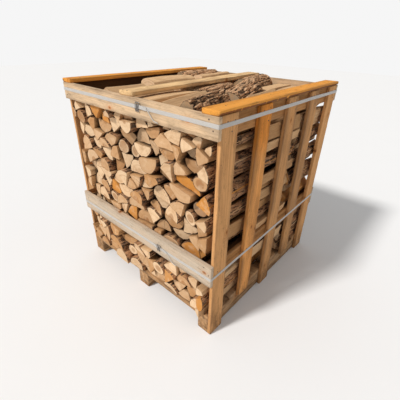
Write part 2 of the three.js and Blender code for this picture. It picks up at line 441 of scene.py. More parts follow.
# Colours of stains, dirt and wear, and of painted shade.
# Near-black brown, painted as shade on wood deep inside the stack.
INSIDE_SHADE = (0.026, 0.010, 0.004)
PALE_PATCH = (0.85, 0.64, 0.42)
BROWN_PATCH = (0.42, 0.215, 0.085)
GRIME = (0.34, 0.25, 0.16)
END_CRACK = (0.10, 0.05, 0.025)
# Dark brown painted as shade along the sawn edge of a log end.
END_RIM_SHADE = (0.20, 0.095, 0.04)
PALE_FACE = (0.80, 0.53, 0.29)
TAN_FACE = (0.50, 0.27, 0.11)
PALE_FIBRE = (0.82, 0.62, 0.38)
DARK_PATCH = (0.36, 0.17, 0.07)
FACE_GRIME = (0.30, 0.22, 0.15)
RUDDY_BARK = (0.42, 0.19, 0.08)
BARK_GRIT = (0.60, 0.41, 0.26)
BARK_PIT = (0.085, 0.042, 0.022)
BARK_RUST = (0.34, 0.15, 0.065)
BARK_CRUST = (0.20, 0.155, 0.12)
ASH = (0.50, 0.42, 0.32)
SILVER = (0.60, 0.53, 0.44)
SPOT = (0.16, 0.09, 0.05)
KNOT_HEART = (0.10, 0.045, 0.02)
WANE_DARK = (0.10, 0.03, 0.012)
WANE_LIGHT = (0.30, 0.10, 0.03)
BOARD_GRIME = (0.20, 0.12, 0.07)
BOARD_CRACK = (0.10, 0.06, 0.035)
# Near-black brown, painted as shade on a batten's inner face.
BATTEN_SHADE = (0.022, 0.009, 0.004)
RESIN = (1.0, 0.74, 0.36)
SPLASH = (0.17, 0.09, 0.04)
CORD_TWIST = (0.92, 0.91, 0.90)
CORD_DUST = (0.50, 0.46, 0.42)
RUST = (0.14, 0.055, 0.025)

# Faces of the stack, from the crate's middle and from the floor, behind which painted shade deepens.
STACK_FRONT, STACK_SIDE, STACK_TOP = 0.515, 0.464, 0.975
# Distances from the crate's middle at which painted shade on a batten starts, and is darkest.
BATTEN_LIT, BATTEN_HIDDEN = 0.486, 0.474
# Heights between which a resinous slat turns orange, and up to which mud splashes.
RESIN_FROM, RESIN_FULL = 0.82, 0.97
SPLASH_HEIGHT = 0.22


def ring_distance(g, tree, warp):
    """Distance from the heart of the tree, made uneven by noise stretched along the grain."""
    uneven = g.stretched_noise(tree, (9, 9, 1.6), 2.0)
    flat = g.scaled(tree, (1, 1, 0))
    radius = g.vector("LENGTH", flat).outputs["Value"]
    return g.math("MULTIPLY_ADD", g.minus(uneven, 0.5), warp, radius)


def ring_lines(g, radius, tree, spacing):
    """Dark late wood of each year: a sine of the distance from the heart, sharpened."""
    drift = g.noise(g.join(g.times(radius, 55), 0.0, g.split(tree)[2]), 1.0, 1.0)
    phase = g.math("MULTIPLY_ADD", radius, 2 * math.pi / spacing, g.times(drift, 9.0))
    wave = g.math("MULTIPLY_ADD", g.math("SINE", phase), 0.5, 0.5)
    return g.math("POWER", wave, 2.2)


def fibres(g, tree, across, along):
    """Noise whose cells are so wide across the grain and so long along it."""
    return g.stretched_noise(tree, (1 / across, 1 / across, 1 / along), 3.0, 0.6)


def shaded_inside(g, tone, amount, nearest=0.004, deepest=0.05):
    """Painted shade: wood darkened inside the stack, by how deep it lies behind the front, sides and top."""
    x, y, z = g.split(g.place())
    from_front = g.minus(STACK_FRONT, g.math("ABSOLUTE", y))
    from_side = g.minus(STACK_SIDE, g.math("ABSOLUTE", x))
    from_top = g.minus(STACK_TOP, z)
    depth = g.math("MINIMUM", g.math("MINIMUM", from_front, from_side), from_top)
    # painted shade: a near-black brown laid over wood deeper in the stack
    return g.stain(tone, INSIDE_SHADE, depth, nearest, deepest, amount)


def drying_cracks(g, tree, chance, radius, patches):
    """Thin cracks out from the heart of about one log in six, where noise round it crosses one
    half."""
    way = g.vector("NORMALIZE", g.scaled(tree, (1, 1, 0))).outputs["Vector"]
    offset = g.join(0.0, 0.0, g.split(tree)[2])
    around = g.noise(g.vector("ADD", g.scaled(way, (3.1, 3.1, 0)), offset).outputs["Vector"], 1.0, 1.0)
    crack = g.band(g.math("ABSOLUTE", g.minus(around, 0.5)), 0.0015, 0.011, 1.0, 0.0)
    crack = g.times(crack, g.band(radius, 0.004, 0.016))
    crack = g.times(crack, g.band(patches, 0.42, 0.55))
    some = g.math("LESS_THAN", g.math("FRACT", g.times(chance, 7.3)), 0.16)
    return g.times(crack, some)


def end_grain_material(s):
    """Sawn log end: broad and fine growth rings, a dark heart, drying cracks and saw marks."""
    g = Graph("log-end")
    tree, look = g.attribute("tree"), g.split(g.attribute("look"))
    radius = ring_distance(g, tree, 0.010)
    fine = ring_lines(g, radius, tree, 0.0042)
    broad = g.noise(g.join(g.times(radius, 75), g.split(tree)[2], 0.0), 1.0, 1.5)
    patches = g.noise(tree, 26.0, 3.0, 0.6)
    pores = g.noise(tree, 900.0, 2.0)

    tone = g.mix(g.band(look[0], 0.05, 0.9), s.cream, s.tan)
    tone = g.stain(tone, s.orange, look[0], 0.95, 0.965)
    core_size = g.times(look[2], 0.034)
    core = g.band(g.minus(radius, core_size), -0.004, 0.005, 1.0, 0.0)
    core = g.times(core, g.band(look[2], 0.15, 0.6, 0.0, 0.62))
    tone = g.mix(core, tone, s.heart)
    tone = g.mix(g.times(fine, g.band(patches, 0.3, 0.7, 0.14, 0.04)), tone, s.heart)
    tone = g.stain(tone, s.heart, broad, 0.45, 0.75, 0.3)
    tone = g.stain(tone, PALE_PATCH, patches, 0.5, 0.75, 0.4)
    tone = g.stain(tone, BROWN_PATCH, patches, 0.48, 0.28, 0.4)
    tone = g.mix(g.times(look[1], g.band(patches, 0.3, 0.6, 0.4, 0.95)), tone, GRIME)
    tone = g.stain(tone, s.heart, pores, 0.35, 0.65, 0.0, 0.16)

    crack = drying_cracks(g, tree, look[2], radius, patches)
    tone = g.mix(g.times(crack, 0.75), tone, END_CRACK)

    saw = g.stretched_noise(tree, (30, 520, 0.5), 2.0)
    relief = g.plus(g.times(saw, 0.5), g.times(fine, 0.35))
    relief = g.minus(relief, g.times(crack, 1.6))
    # painted shade along the sawn edge of each end, patchy by noise
    rim = g.split(g.attribute("relief"))[1]
    rim = g.times(rim, g.band(patches, 0.3, 0.62, 0.8, 0.35))
    tone = g.mix(rim, tone, END_RIM_SHADE)
    # painted shade on log ends set deeper in the stack
    tone = shaded_inside(g, tone, 0.5, 0.012, 0.065)
    return g.dry_finish(tone, g.band(pores, 0.3, 0.7, 0.72, 0.9), relief, 0.0012)


def split_face_material(s):
    """Torn split face: long fibres, faint growth bands running along, stains and a few tears."""
    g = Graph("log-split-face")
    tree, look = g.attribute("tree"), g.split(g.attribute("look"))
    radius = ring_distance(g, tree, 0.012)
    fine = ring_lines(g, radius, tree, 0.0045)
    streaks = fibres(g, tree, 0.0022, 0.11)
    hair = fibres(g, tree, 0.0006, 0.03)
    patches = g.stretched_noise(tree, (14, 14, 5), 3.0, 0.6)

    tone = g.mix(g.band(look[0], 0.0, 0.8), PALE_FACE, TAN_FACE)
    tone = g.stain(tone, s.orange, look[0], 0.95, 0.965)
    tone = g.mix(g.times(fine, 0.2), tone, s.heart)
    tone = g.stain(tone, s.heart, streaks, 0.42, 0.7, 0.5)
    tone = g.stain(tone, PALE_FIBRE, hair, 0.5, 0.75, 0.35)
    tone = g.stain(tone, DARK_PATCH, patches, 0.52, 0.75, 0.5)
    tone = g.mix(g.times(look[1], 0.5), tone, FACE_GRIME)
    relief = g.plus(streaks, g.times(hair, 0.45))
    # painted shade on split faces deeper in the stack
    tone = shaded_inside(g, tone, 0.88)
    return g.dry_finish(tone, g.band(hair, 0.3, 0.7, 0.62, 0.85), relief, 0.0022, 0.9)


def bark_material(s):
    """Furrowed bark: pale flaking plates, nearly black furrows, rusty patches and grey crust."""
    g = Graph("log-bark")
    tree, look = g.attribute("tree"), g.split(g.attribute("look"))
    lift = g.split(g.attribute("relief"))[0]
    wander = g.stretched_noise(tree, (70, 70, 30), 3.0)
    bent = g.vector("ADD", g.scaled(tree, (150, 150, 60)), g.join(wander, wander, wander)).outputs["Vector"]
    flakes = g.node("ShaderNodeTexVoronoi", {"Vector": bent, "Scale": 1.0, "Randomness": 0.95}, feature="F1")
    chip = g.split(flakes.outputs["Color"])[0]
    edge = g.band(flakes.outputs["Distance"], 0.25, 0.62, 1.0, 0.0)
    grit = g.stretched_noise(tree, (520, 520, 240), 3.0, 0.65)
    rust = g.stretched_noise(tree, (34, 34, 16), 3.0, 0.65)

    height = g.times(lift, g.math("MULTIPLY_ADD", edge, 0.45, 0.55))
    height = g.math("MULTIPLY_ADD", g.minus(chip, 0.5), 0.5, height)
    ruddy = g.mix(g.band(look[1], 0.9, 0.4, 0.0, 0.75), s.bark_light, RUDDY_BARK)
    tone = g.mix(g.band(height, 0.05, 0.58), s.bark_dark, ruddy)
    tone = g.stain(tone, BARK_GRIT, grit, 0.5, 0.68, 0.45)
    tone = g.stain(tone, BARK_PIT, grit, 0.5, 0.34, 0.4)
    rusty = g.times(g.band(rust, 0.5, 0.62, 0.0, 0.75), g.band(height, 0.1, 0.5))
    tone = g.mix(rusty, tone, BARK_RUST)
    tone = g.mix(g.times(g.band(rust, 0.46, 0.34), 0.35), tone, BARK_CRUST)
    relief = g.math("MULTIPLY_ADD", grit, 0.35, height)
    # painted shade on bark deeper in the stack
    tone = shaded_inside(g, tone, 0.85)
    return g.dry_finish(tone, 0.93, relief, 0.005, 1.0)


def knots(g, tree):
    """Where a board's grain swells round its knots, then each knot's eye and its heart. The knots
    are the points of a flat cell pattern, of which three in ten are kept."""
    place = g.split(tree)
    lookup = g.join(g.times(place[2], 0.62), place[0], 0.0)
    inputs = {"Vector": lookup, "Scale": 7.5, "Randomness": 1.0}
    cells = g.node("ShaderNodeTexVoronoi", inputs, voronoi_dimensions="2D", feature="F1")
    near = cells.outputs["Distance"]
    kept = g.math("GREATER_THAN", g.split(cells.outputs["Color"])[0], 0.7)
    reaches = ((0.0, 0.26), (0.045, 0.066), (0.012, 0.03))
    return [g.times(kept, g.band(near, low, high, 1.0, 0.0)) for low, high in reaches]


def sawn_material(name, base, grey=0.0, streak=0.5, knot=(0.42, 0.15, 0.035), inside=0.0, resin=0.0):
    """Sawn softwood: yearly lines that sweep round knots, fibres, saw marks, grime and greying.
    The inside value paints shade on wood towards the crate's middle, as on a batten's hidden face,
    and the resin value turns its upper end orange."""
    g = Graph(name)
    tree, look = g.attribute("tree"), g.split(g.attribute("look"))
    swell, eye, heart = knots(g, tree)
    radius = ring_distance(g, tree, 0.007)
    radius = g.math("MULTIPLY_ADD", swell, 0.02, radius)
    lines = ring_lines(g, radius, tree, 0.0058)
    streaks = fibres(g, tree, 0.0014, 0.16)
    hair = fibres(g, tree, 0.0005, 0.02)
    patches = g.stretched_noise(tree, (22, 22, 4.5), 4.0, 0.6)
    spots = g.stretched_noise(tree, (150, 150, 70), 2.0, 0.6)

    base = tuple(base)
    light = tuple(min(1.0, c * 1.22 + 0.02) for c in base)
    dark = tuple(c * f for c, f in zip(base, (0.56, 0.44, 0.34)))
    tone = g.mix(g.band(look[0], 0.0, 1.0), light, base)
    tone = g.mix(g.times(lines, 0.35 * streak + 0.06), tone, dark)
    tone = g.stain(tone, dark, streaks, 0.45, 0.72, streak)
    tone = g.stain(tone, light, hair, 0.5, 0.72, 0.3)
    tone = g.stain(tone, ASH if grey else dark, patches, 0.42, 0.72, 0.25 + 0.6 * grey)
    tone = g.mix(g.times(grey, g.band(streaks, 0.3, 0.6, 0.3, 0.85)), tone, SILVER)
    tone = g.stain(tone, SPOT, spots, 0.66, 0.74, 0.55)
    smears = g.stretched_noise(tree, (48, 48, 13), 5.0, 0.7)
    tone = g.stain(tone, tuple(c * 0.42 for c in base), smears, 0.54, 0.72, 0.6)
    tone = g.mix(g.times(swell, 0.22), tone, knot)
    tone = g.mix(g.times(eye, 0.75), tone, knot)
    tone = g.mix(g.times(heart, 0.8), tone, KNOT_HEART)
    tone = g.stain(tone, g.mix(smears, WANE_DARK, WANE_LIGHT), look[2], 0.2, 0.7, 0.92)
    tone = g.mix(g.times(look[1], g.band(patches, 0.35, 0.6, 0.1, 0.8)), tone, BOARD_GRIME)

    checks = g.stretched_noise(tree, (210, 210, 3.2), 1.0)
    checks = g.band(g.math("ABSOLUTE", g.minus(checks, 0.5)), 0.0, 0.012, 1.0, 0.0)
    checks = g.times(checks, g.band(patches, 0.46, 0.56, 0.0, 0.45 + 0.5 * grey))
    tone = g.mix(checks, tone, BOARD_CRACK)
    across, _, above = g.split(g.place())
    # painted shade: the batten's inner face, towards the crate's middle, darkened nearly to black
    tone = g.stain(tone, BATTEN_SHADE, g.math("ABSOLUTE", across), BATTEN_LIT, BATTEN_HIDDEN, inside)
    if resin:
        tinge = g.band(above, RESIN_FROM, RESIN_FULL, 0.3 * resin, resin)
        tone = g.mix(tinge, tone, RESIN, "MULTIPLY")
    splash = g.times(g.band(above, 0.0, SPLASH_HEIGHT, 0.8, 0.0), g.band(smears, 0.36, 0.62))
    tone = g.mix(splash, tone, SPLASH)

    saw = g.stretched_noise(tree, (12, 12, 260), 1.0)
    relief = g.plus(g.times(streaks, 0.8), g.times(hair, 0.5))
    relief = g.plus(relief, g.times(saw, 0.35))
    relief = g.plus(relief, g.times(lines, 0.3))
    relief = g.minus(relief, g.times(checks, 0.9))
    return g.dry_finish(tone, g.band(hair, 0.3, 0.7, 0.66, 0.86), relief, 0.0011)


def strap_material(s):
    """Polyester cord strapping: parallel cords along its length, under a thin milky coat."""
    g = Graph("strap")
    place = g.split(g.attribute("tree"))
    cords = g.math("MULTIPLY_ADD", g.math("SINE", g.times(place[0], 2 * math.pi / 0.00146)), 0.5, 0.5)
    twist = g.noise(g.join(g.times(place[0], 2400), 0.0, g.times(place[2], 260)), 1.0, 2.0)
    dust = g.noise(g.attribute("tree"), 32.0, 3.0, 0.6)
    band = tuple(s.band)
    tone = g.mix(g.times(cords, 0.3), band, tuple(c * 0.78 for c in band))
    tone = g.stain(tone, CORD_TWIST, twist, 0.45, 0.7, 0.35)
    tone = g.stain(tone, CORD_DUST, dust, 0.5, 0.75, 0.4)
    relief = g.plus(cords, g.times(twist, 0.4))
    return g.finish(tone, 0.42, g.bump(relief, 0.0004, 0.8), Sheen_Weight=0.15)


def steel_material(name, base, rust):
    """Drawn steel wire or nail: long scratches, dull zinc and specks of rust."""
    g = Graph(name)
    where = g.place()
    drawn = g.noise(where, 420.0, 3.0, 0.6)
    spots = g.noise(where, 160.0, 4.0, 0.65)
    base = tuple(base)
    tone = g.mix(g.band(drawn, 0.35, 0.7), base, tuple(c * 0.55 for c in base))
    tone = g.stain(tone, RUST, spots, 0.5, 0.68, rust)
    return g.finish(tone, g.band(drawn, 0.3, 0.7, 0.32, 0.55), g.bump(drawn, 0.0002, 0.5), Metallic=0.9)


# ---- boards -------------------------------------------------------------------


def board_profile():
    """Places round a board's cross-section: three on each corner's arc, then four along each
    wide flat or two along each edge. A place is its share of the half width and half thickness,
    and its direction on the arc."""
    rows = []
    for quarter, (sw, st) in enumerate([(1, 1), (-1, 1), (-1, -1), (1, -1)]):
        turn = math.pi / 2 * quarter
        for bend in (0.0, math.pi / 4, math.pi / 2):
            rows.append((sw, st, math.cos(turn + bend), math.sin(turn + bend)))
        next_w, next_t = -st, sw
        facing = (math.cos(turn + math.pi / 2), math.sin(turn + math.pi / 2))
        for share in (0.3, 0.7) if quarter % 2 else (0.2, 0.4, 0.6, 0.8):
            rows.append((sw + (next_w - sw) * share, st + (next_t - st) * share, *facing))
    return np.array(rows)


# Length of one knock on a board's edge, and height of the saw's ripple on its faces.
KNOCK_LENGTH = 0.035
RIPPLE_HEIGHT = 0.00025
# Sizes of the two rings on a board's sawn end, as shares of its section.
END_RINGS = (0.15, 0.6)


def corner_radius(profile, along, thick, seed, wane, settings):
    """Radius of a board's corners at every place: the arris, more by noise squared where knocks
    have worn it, and the corner's wane. The wane is returned too."""
    corner = np.searchsorted([-3, -1, 1, 3], np.sign(profile[:, 0]) * 2 + np.sign(profile[:, 1]))
    grid_along, grid_corner = np.meshgrid(along, corner, indexing="ij")
    own = np.full_like(grid_along, seed * 3.1)
    sample = np.stack([grid_corner * 9.7, grid_along / KNOCK_LENGTH, own], -1)
    knocks = lattice_noise(sample, 3)
    slow = lattice_noise(sample * (1, 0.16, 1), 5)
    torn = lattice_noise(sample * (1, 4.3, 1), 6)
    wanes = np.array(wane)[grid_corner]
    radius = settings.arris + settings.wear * np.clip(knocks - 0.25, 0, 1) ** 2 * 2.5
    radius = radius + wanes * np.clip(0.62 + 0.4 * slow + 0.25 * knocks + 0.3 * torn, 0.12, 1.2)
    return np.minimum(radius, 0.49 * thick), wanes


def board_surface(low, high, seed, settings, wane=(0, 0, 0, 0), skew=0.0, step=0.022):
    """A sawn board in the box from low to high, turned by the skew: a rectangle with rounded
    corners carried along it, its flats rippled by noise and its ends closed by smaller rings."""
    rng = np.random.default_rng(seed)
    low, high = np.array(low, float), np.array(high, float)
    size = high - low
    order = np.argsort(-size)
    length, width, thick = size[order]
    profile = board_profile()
    around = len(profile)
    stations = max(6, int(length / step))
    inner = np.linspace(settings.arris, length - settings.arris, stations)
    along = np.concatenate([[0.0], inner, [length]])
    inset = np.concatenate([[settings.arris], np.zeros(stations), [settings.arris]])
    grid_along = np.repeat(along[:, None], around, 1)
    radius, wanes = corner_radius(profile, along, thick, seed, wane, settings)

    pw, pt, dw, dt = profile.T
    at_w = pw * (width / 2 - radius) + radius * dw - inset[:, None] * pw
    at_t = pt * (thick / 2 - radius) + radius * dt - inset[:, None] * pt
    ripple = lattice_noise(np.stack([at_w / 0.03, grid_along / 0.09, np.full_like(at_w, seed)], -1), 7)
    at_t = at_t + RIPPLE_HEIGHT * ripple * np.sign(at_t)

    ring = np.stack([grid_along, at_w, at_t], -1)
    rings = [ring[0] * (1, s, s) for s in END_RINGS] + list(ring)
    rings += [ring[-1] * (1, s, s) for s in END_RINGS[::-1]]
    ends = np.array([[0, 0, 0], [length, 0, 0]], float)
    local = np.concatenate([np.stack(rings).reshape(-1, 3), ends])

    count = len(rings)
    quads, fans = tube_faces(count, around), closing_fans(count, around)
    heart = np.array([rng.uniform(-0.6, 0.6) * width, -rng.uniform(0.02, 0.09)])
    slope = rng.uniform(-0.025, 0.025)
    tree = np.stack(
        [
            local[:, 1] - heart[0] + slope * local[:, 0],
            local[:, 2] - heart[1],
            local[:, 0] + figure_start(seed),
        ],
        -1,
    )
    look = np.tile([rng.uniform(0, 1), rng.uniform(0, 0.7) ** 2, 0.0], (len(local), 1))
    on_sides = slice(2 * around, -2 * around - 2)
    on_corner = (np.abs(pw) == 1) & (np.abs(pt) == 1)
    look[on_sides, 1] += 0.45 * np.tile(np.hypot(dw, dt) * on_corner, len(along))
    bare = np.clip((radius - settings.arris - settings.wear) / 0.003, 0, 1) * (wanes > 0.005)
    look[on_sides, 2] = bare.ravel()

    points = np.zeros_like(local)
    middle = (low + high) / 2
    points[:, order] = local - (length / 2, 0, 0) + middle[order]
    points[:, 2] = np.maximum(points[:, 2], 0)
    if skew:
        points[:, :2] = turned(points[:, :2] - middle[:2], skew) + middle[:2]
    if np.linalg.det(np.eye(3)[order]) > 0:
        quads, fans = quads[:, ::-1], fans[:, ::-1]
    return plain_surface(points, quads, fans, tree, look, flat_ends=True)


# ---- splits: outlines, stacking and surfaces ------------------------------------

# Places round an outline, one to a degree.
DENSE = 360
# Side of a cell of the grid that the rows are stacked on.
CELL = 0.002
# Columns of the skyline next to a wall, where most splits show their bark.
WALL_ZONE = 36
# How far below a batten's upper edge the splits beside it have to stop.
BATTEN_ROOM = 0.084
# What a landing costs: empty space under it, how high it lies, and bark turned from the wall.
# What it gains: area, so that large splits go in first.
EMPTY_COST, LEVEL_COST, WALL_COST, AREA_GAIN = 1.5, 0.25, 0.13, 3.2
# Splits at hand, ways each is turned, misses before small ones are tried and before a row is
# full, and how small those are.
HAND, TURNS, FIRST_MISSES, LAST_MISSES, SMALL_SPLIT = 5, 14, 8, 26, 0.62
# What a cell of the grid holds when it isn't a split's number, and the grid's margin.
EMPTY, CRATE, GRID_MARGIN = -1, 9999, 0.012
# How splits may grow and shift, best first, and the share of a split that may overlap others.
GROWTHS = (1.05, 1.025)
SHIFTS = [(dx * CELL, dz * CELL) for dx, dz in product((0, -2, 2), repeat=2)]
SHIFTS += [(dx * CELL, dz * CELL) for dx, dz in ((-4, 0), (4, 0), (0, -4), (0, 4))]
OVERLAPPING = 0.012


def cuts_for(kind, rng):
    """The flat cuts that make one kind of split from a tree of radius one, whose bark side faces
    angle zero. A cut is the direction it faces, in radians, and its distance from the heart."""
    half = math.radians(rng.uniform(27, 46))
    tip = rng.uniform(0.0, 0.14)
    side = math.sin(half) * tip
    wedge = [(math.pi / 2 + half, -side), (-math.pi / 2 - half, -side)]
    if kind == "wedge":
        return wedge
    if kind == "blunt":
        return wedge + [(math.pi + rng.uniform(-0.5, 0.5), -rng.uniform(0.22, 0.42))]
    if kind == "half":
        return [(math.pi + rng.uniform(-0.1, 0.1), -rng.uniform(-0.12, 0.12))]
    if kind == "slab":
        return [(math.pi, -rng.uniform(0.3, 0.5)), (rng.uniform(1.3, 1.9), rng.uniform(0.45, 0.8))]
    if kind == "block":
        heart_side = (math.pi + rng.uniform(-0.3, 0.3), -0.3)
        return wedge + [heart_side, (rng.uniform(-0.35, 0.35), rng.uniform(0.7, 0.85))]
    if kind == "chunk":
        return [(math.pi, -rng.uniform(0.0, 0.15)), (rng.uniform(1.4, 1.9), rng.uniform(0.25, 0.6))]
    return []


def split_outline(cuts, radius, wobble):
    """Outline of a split: from a point inside, the nearest of the bark circle and the cuts in
    each direction. The circle is where |c + r u| = R; a cut is where n.(c + r u) = d."""
    phi = np.linspace(0, 2 * np.pi, DENSE, endpoint=False)
    way = np.stack([np.cos(phi), np.sin(phi)], -1)
    normals = np.array([[math.cos(a), math.sin(a)] for a, _ in cuts]).reshape(-1, 2)
    offsets = np.array([d for _, d in cuts])
    inside = np.array([0.5 if cuts else 0.0, 0.0])
    for _ in range(3):
        along = way @ inside
        reach = -along + np.sqrt(np.maximum(along**2 + 1 - inside @ inside, 1e-6))
        bark = np.ones(DENSE, bool)
        for normal, offset in zip(normals, offsets):
            facing = way @ normal
            hit = np.where(facing > 1e-6, (offset - inside @ normal) / np.maximum(facing, 1e-6), 1e9)
            bark &= ~(hit < reach)
            reach = np.minimum(reach, hit)
        reach = np.maximum(reach, 0.02)
        points = inside + reach[:, None] * way
        inside = points.mean(0) * 0.5 + (points.max(0) + points.min(0)) * 0.25
    theta = np.arctan2(points[:, 1], points[:, 0])
    swell = 1 + 0.035 * np.cos(2 * theta + wobble[0]) + 0.025 * np.cos(3 * theta + wobble[1])
    swell = swell + 0.015 * np.cos(7 * theta + wobble[2])
    points = points * np.where(bark, swell, 1 + (swell - 1) * 0.6)[:, None]
    softened = sum(np.roll(points, shift, 0) for shift in range(-3, 4)) / 7
    return softened * radius, bark


def column_profile(points):
    """Lowest and highest place of an outline over each column of the grid, and its left end."""
    dense = np.concatenate([points + (np.roll(points, -1, 0) - points) * t for t in (0, 0.34, 0.67)])
    left = points[:, 0].min()
    column = ((dense[:, 0] - left) / CELL).astype(int)
    count = column.max() + 1
    low, high = np.full(count, np.inf), np.full(count, -np.inf)
    np.minimum.at(low, column, dense[:, 1])
    np.maximum.at(high, column, dense[:, 1])
    seen = np.isfinite(low)
    at = np.arange(count)
    return np.interp(at, at[seen], low[seen]), np.interp(at, at[seen], high[seen]), left


# Kinds of split, and the share of each.
KINDS = ("wedge", "half", "blunt", "round", "chunk", "slab", "block")
SHARES = (0.29, 0.20, 0.13, 0.17, 0.10, 0.05, 0.06)


def draw_split(rng, settings, shrink=1.0):
    """Takes one split at random: its kind, the tree's radius and its outline."""
    kind = rng.choice(KINDS, p=SHARES)
    small, large = settings.small, settings.large
    span = {"round": (0.8, 1.2), "half": (1.15, 1.7)}.get(kind, (1.7, 2.7))
    radius = min(small * rng.uniform(*span), large) * shrink
    cuts = cuts_for(kind, rng)
    outline, bark = split_outline(cuts, radius, rng.uniform(0, 6.28, 3))
    squash = rng.uniform(0.86, 1.0)
    outline = outline * (1.0, squash)
    bark_out = 1 if rng.random() < 0.66 else -1
    return {"kind": kind, "outline": outline, "bark": bark, "bark_out": bark_out}


def best_landing(split, skyline, ledge, left_wall, turns):
    """Drops a split on the skyline at each turn and column, and returns the place that leaves the
    least empty space under it and the lowest top. Beside a batten it lands on the ledge."""
    best = None
    for turn in turns:
        outline = turned(split["outline"], turn)
        low, high, left = column_profile(outline)
        width = len(low)
        if width >= len(skyline):
            continue
        under = np.lib.stride_tricks.sliding_window_view(skyline, width)
        land = (under - low).max(1)
        blocked = np.lib.stride_tricks.sliding_window_view(ledge > 0, width)
        top = land[:, None] + high
        clash = (blocked & (top > ledge.max() - BATTEN_ROOM)).any(1)
        raised = np.lib.stride_tricks.sliding_window_view(np.maximum(skyline, ledge), width)
        land = np.where(clash, (raised - low).max(1), land)
        waste = (land[:, None] + low - under).sum(1) * CELL
        cost = waste / (width * CELL) * EMPTY_COST + (land + high.max()) + LEVEL_COST * (land + low.mean())
        facing = split["bark_out"] * math.cos(turn)
        cost[:WALL_ZONE] += WALL_COST * (1 + facing)
        cost[-WALL_ZONE:] += WALL_COST * (1 - facing)
        spot = int(np.argmin(cost))
        if best is None or cost[spot] < best["cost"]:
            shift = np.array([left_wall + spot * CELL - left, land[spot]])
            best = {"cost": cost[spot], "turn": turn, "shift": shift, "spot": spot, "width": width,
                    "top": land[spot] + high, "highest": land[spot] + high.max()}
    return best


def area_inside(outline):
    """Area of an outline: half the sum of x times the next z, less z times the next x."""
    x, z = outline.T
    return abs((x * np.roll(z, -1)).sum() - (z * np.roll(x, -1)).sum()) / 2


def stack_splits(rng, settings, half_width, floor, ceiling, battens):
    """Stacks splits from the floor up, as a person would: of a few at hand, the one that fits best."""
    skyline = np.full(int(2 * half_width / CELL), floor)
    x = (np.arange(len(skyline)) + 0.5) * CELL - half_width
    ledge = np.where(np.abs(x) > battens["side"], battens["top"], 0.0)
    placed = []
    misses = 0
    while misses < LAST_MISSES:
        shrink = 1.0 if misses < FIRST_MISSES else SMALL_SPLIT
        choice = None
        for _ in range(HAND):
            split = draw_split(rng, settings, shrink)
            turns = rng.uniform(0, 2 * math.pi) + np.linspace(0, 2 * math.pi, TURNS, endpoint=False)
            landing = best_landing(split, skyline, ledge, -half_width, turns)
            if landing is None or landing["highest"] > ceiling:
                continue
            score = landing["cost"] - AREA_GAIN * area_inside(split["outline"])
            if choice is None or score < choice[0]:
                choice = (score, split, landing)
        if choice is None:
            misses += 1
            continue
        _, split, landing = choice
        span = slice(landing["spot"], landing["spot"] + landing["width"])
        skyline[span] = np.maximum(skyline[span], landing["top"])
        placed.append({
            "outline": turned(split["outline"], landing["turn"]) + landing["shift"],
            "bark": split["bark"],
            "pith": landing["shift"].copy(),
            "kind": split["kind"],
        })
    return placed


def fill_mask(outline, xs, zs):
    """Which of the grid's cells an outline holds, by its reach from its own middle."""
    centre = outline.mean(0)
    rays = outline - centre
    order = np.argsort(np.arctan2(rays[:, 1], rays[:, 0]))
    heading = np.arctan2(rays[order, 1], rays[order, 0])
    reach = np.hypot(rays[order, 0], rays[order, 1])
    gx, gz = np.meshgrid(xs - centre[0], zs - centre[1], indexing="ij")
    return np.hypot(gx, gz) < np.interp(np.arctan2(gz, gx), heading, reach, period=2 * math.pi)


def swell_splits(placed, half_width, floor, ceiling, battens):
    """Lets each split grow and shift a little into the empty space round it, on a grid of cells
    that each hold the number of the split they lie in."""
    xs = np.arange(-half_width - GRID_MARGIN, half_width + GRID_MARGIN, CELL)
    zs = np.arange(floor - GRID_MARGIN, ceiling + GRID_MARGIN, CELL)
    owner = np.full((len(xs), len(zs)), EMPTY, np.int32)
    gx, gz = np.meshgrid(xs, zs, indexing="ij")
    owner[(np.abs(gx) > half_width) | (gz < floor) | (gz > ceiling)] = CRATE
    owner[(np.abs(gx) > battens["side"]) & (gz > battens["low"]) & (gz < battens["top"])] = CRATE

    def window(outline):
        low, high = outline.min(0) - 2 * CELL, outline.max(0) + 2 * CELL
        i = slice(max(0, int((low[0] - xs[0]) / CELL)), int((high[0] - xs[0]) / CELL) + 2)
        j = slice(max(0, int((low[1] - zs[0]) / CELL)), int((high[1] - zs[0]) / CELL) + 2)
        return i, j

    def draw(number, outline):
        i, j = window(outline)
        owner[i, j][fill_mask(outline, xs[i], zs[j])] = number

    def is_free(number, outline):
        i, j = window(outline)
        held = owner[i, j][fill_mask(outline, xs[i], zs[j])]
        return ((held >= 0) & (held != number)).mean() < OVERLAPPING

    for number, split in enumerate(placed):
        draw(number, split["outline"])
    for _ in range(2):
        for number, split in enumerate(placed):
            outline = split["outline"]
            centre = outline.mean(0)
            for growth, shift in product(GROWTHS, SHIFTS):
                moved = centre + (outline - centre) * growth + shift
                if is_free(number, moved):
                    i, j = window(outline)
                    owner[i, j][owner[i, j] == number] = EMPTY
                    split["outline"] = moved
                    split["pith"] = centre + (split["pith"] - centre) * growth + shift
                    draw(number, moved)
                    break


def resampled(split, count):
    """Takes count places round an outline, closer together where it turns sharply."""
    outline, bark = split["outline"], split["bark"]
    step = np.roll(outline, -1, 0) - outline
    heading = np.arctan2(step[:, 1], step[:, 0])
    turning = np.abs((heading - np.roll(heading, 1) + math.pi) % (2 * math.pi) - math.pi)
    length = np.hypot(*step.T)
    weight = length / length.sum() + 0.10 * (turning / max(turning.sum(), TINY)) + 1e-6
    position = np.concatenate([[0], np.cumsum(weight)])
    wanted = np.linspace(0, position[-1], count, endpoint=False)
    index = np.arange(len(outline) + 1)
    at = np.interp(wanted, position, index)
    closed = np.concatenate([outline, outline[:1]])
    points = np.stack([np.interp(at, index, closed[:, k]) for k in (0, 1)], -1)
    middle = (at + 0.5 * (np.roll(at, -1) - at) % len(outline)) % len(outline)
    return points, bark[middle.astype(int) % len(outline)]


# How far a log's sawn edge is broken.
SAWN_ARRIS = 0.0011


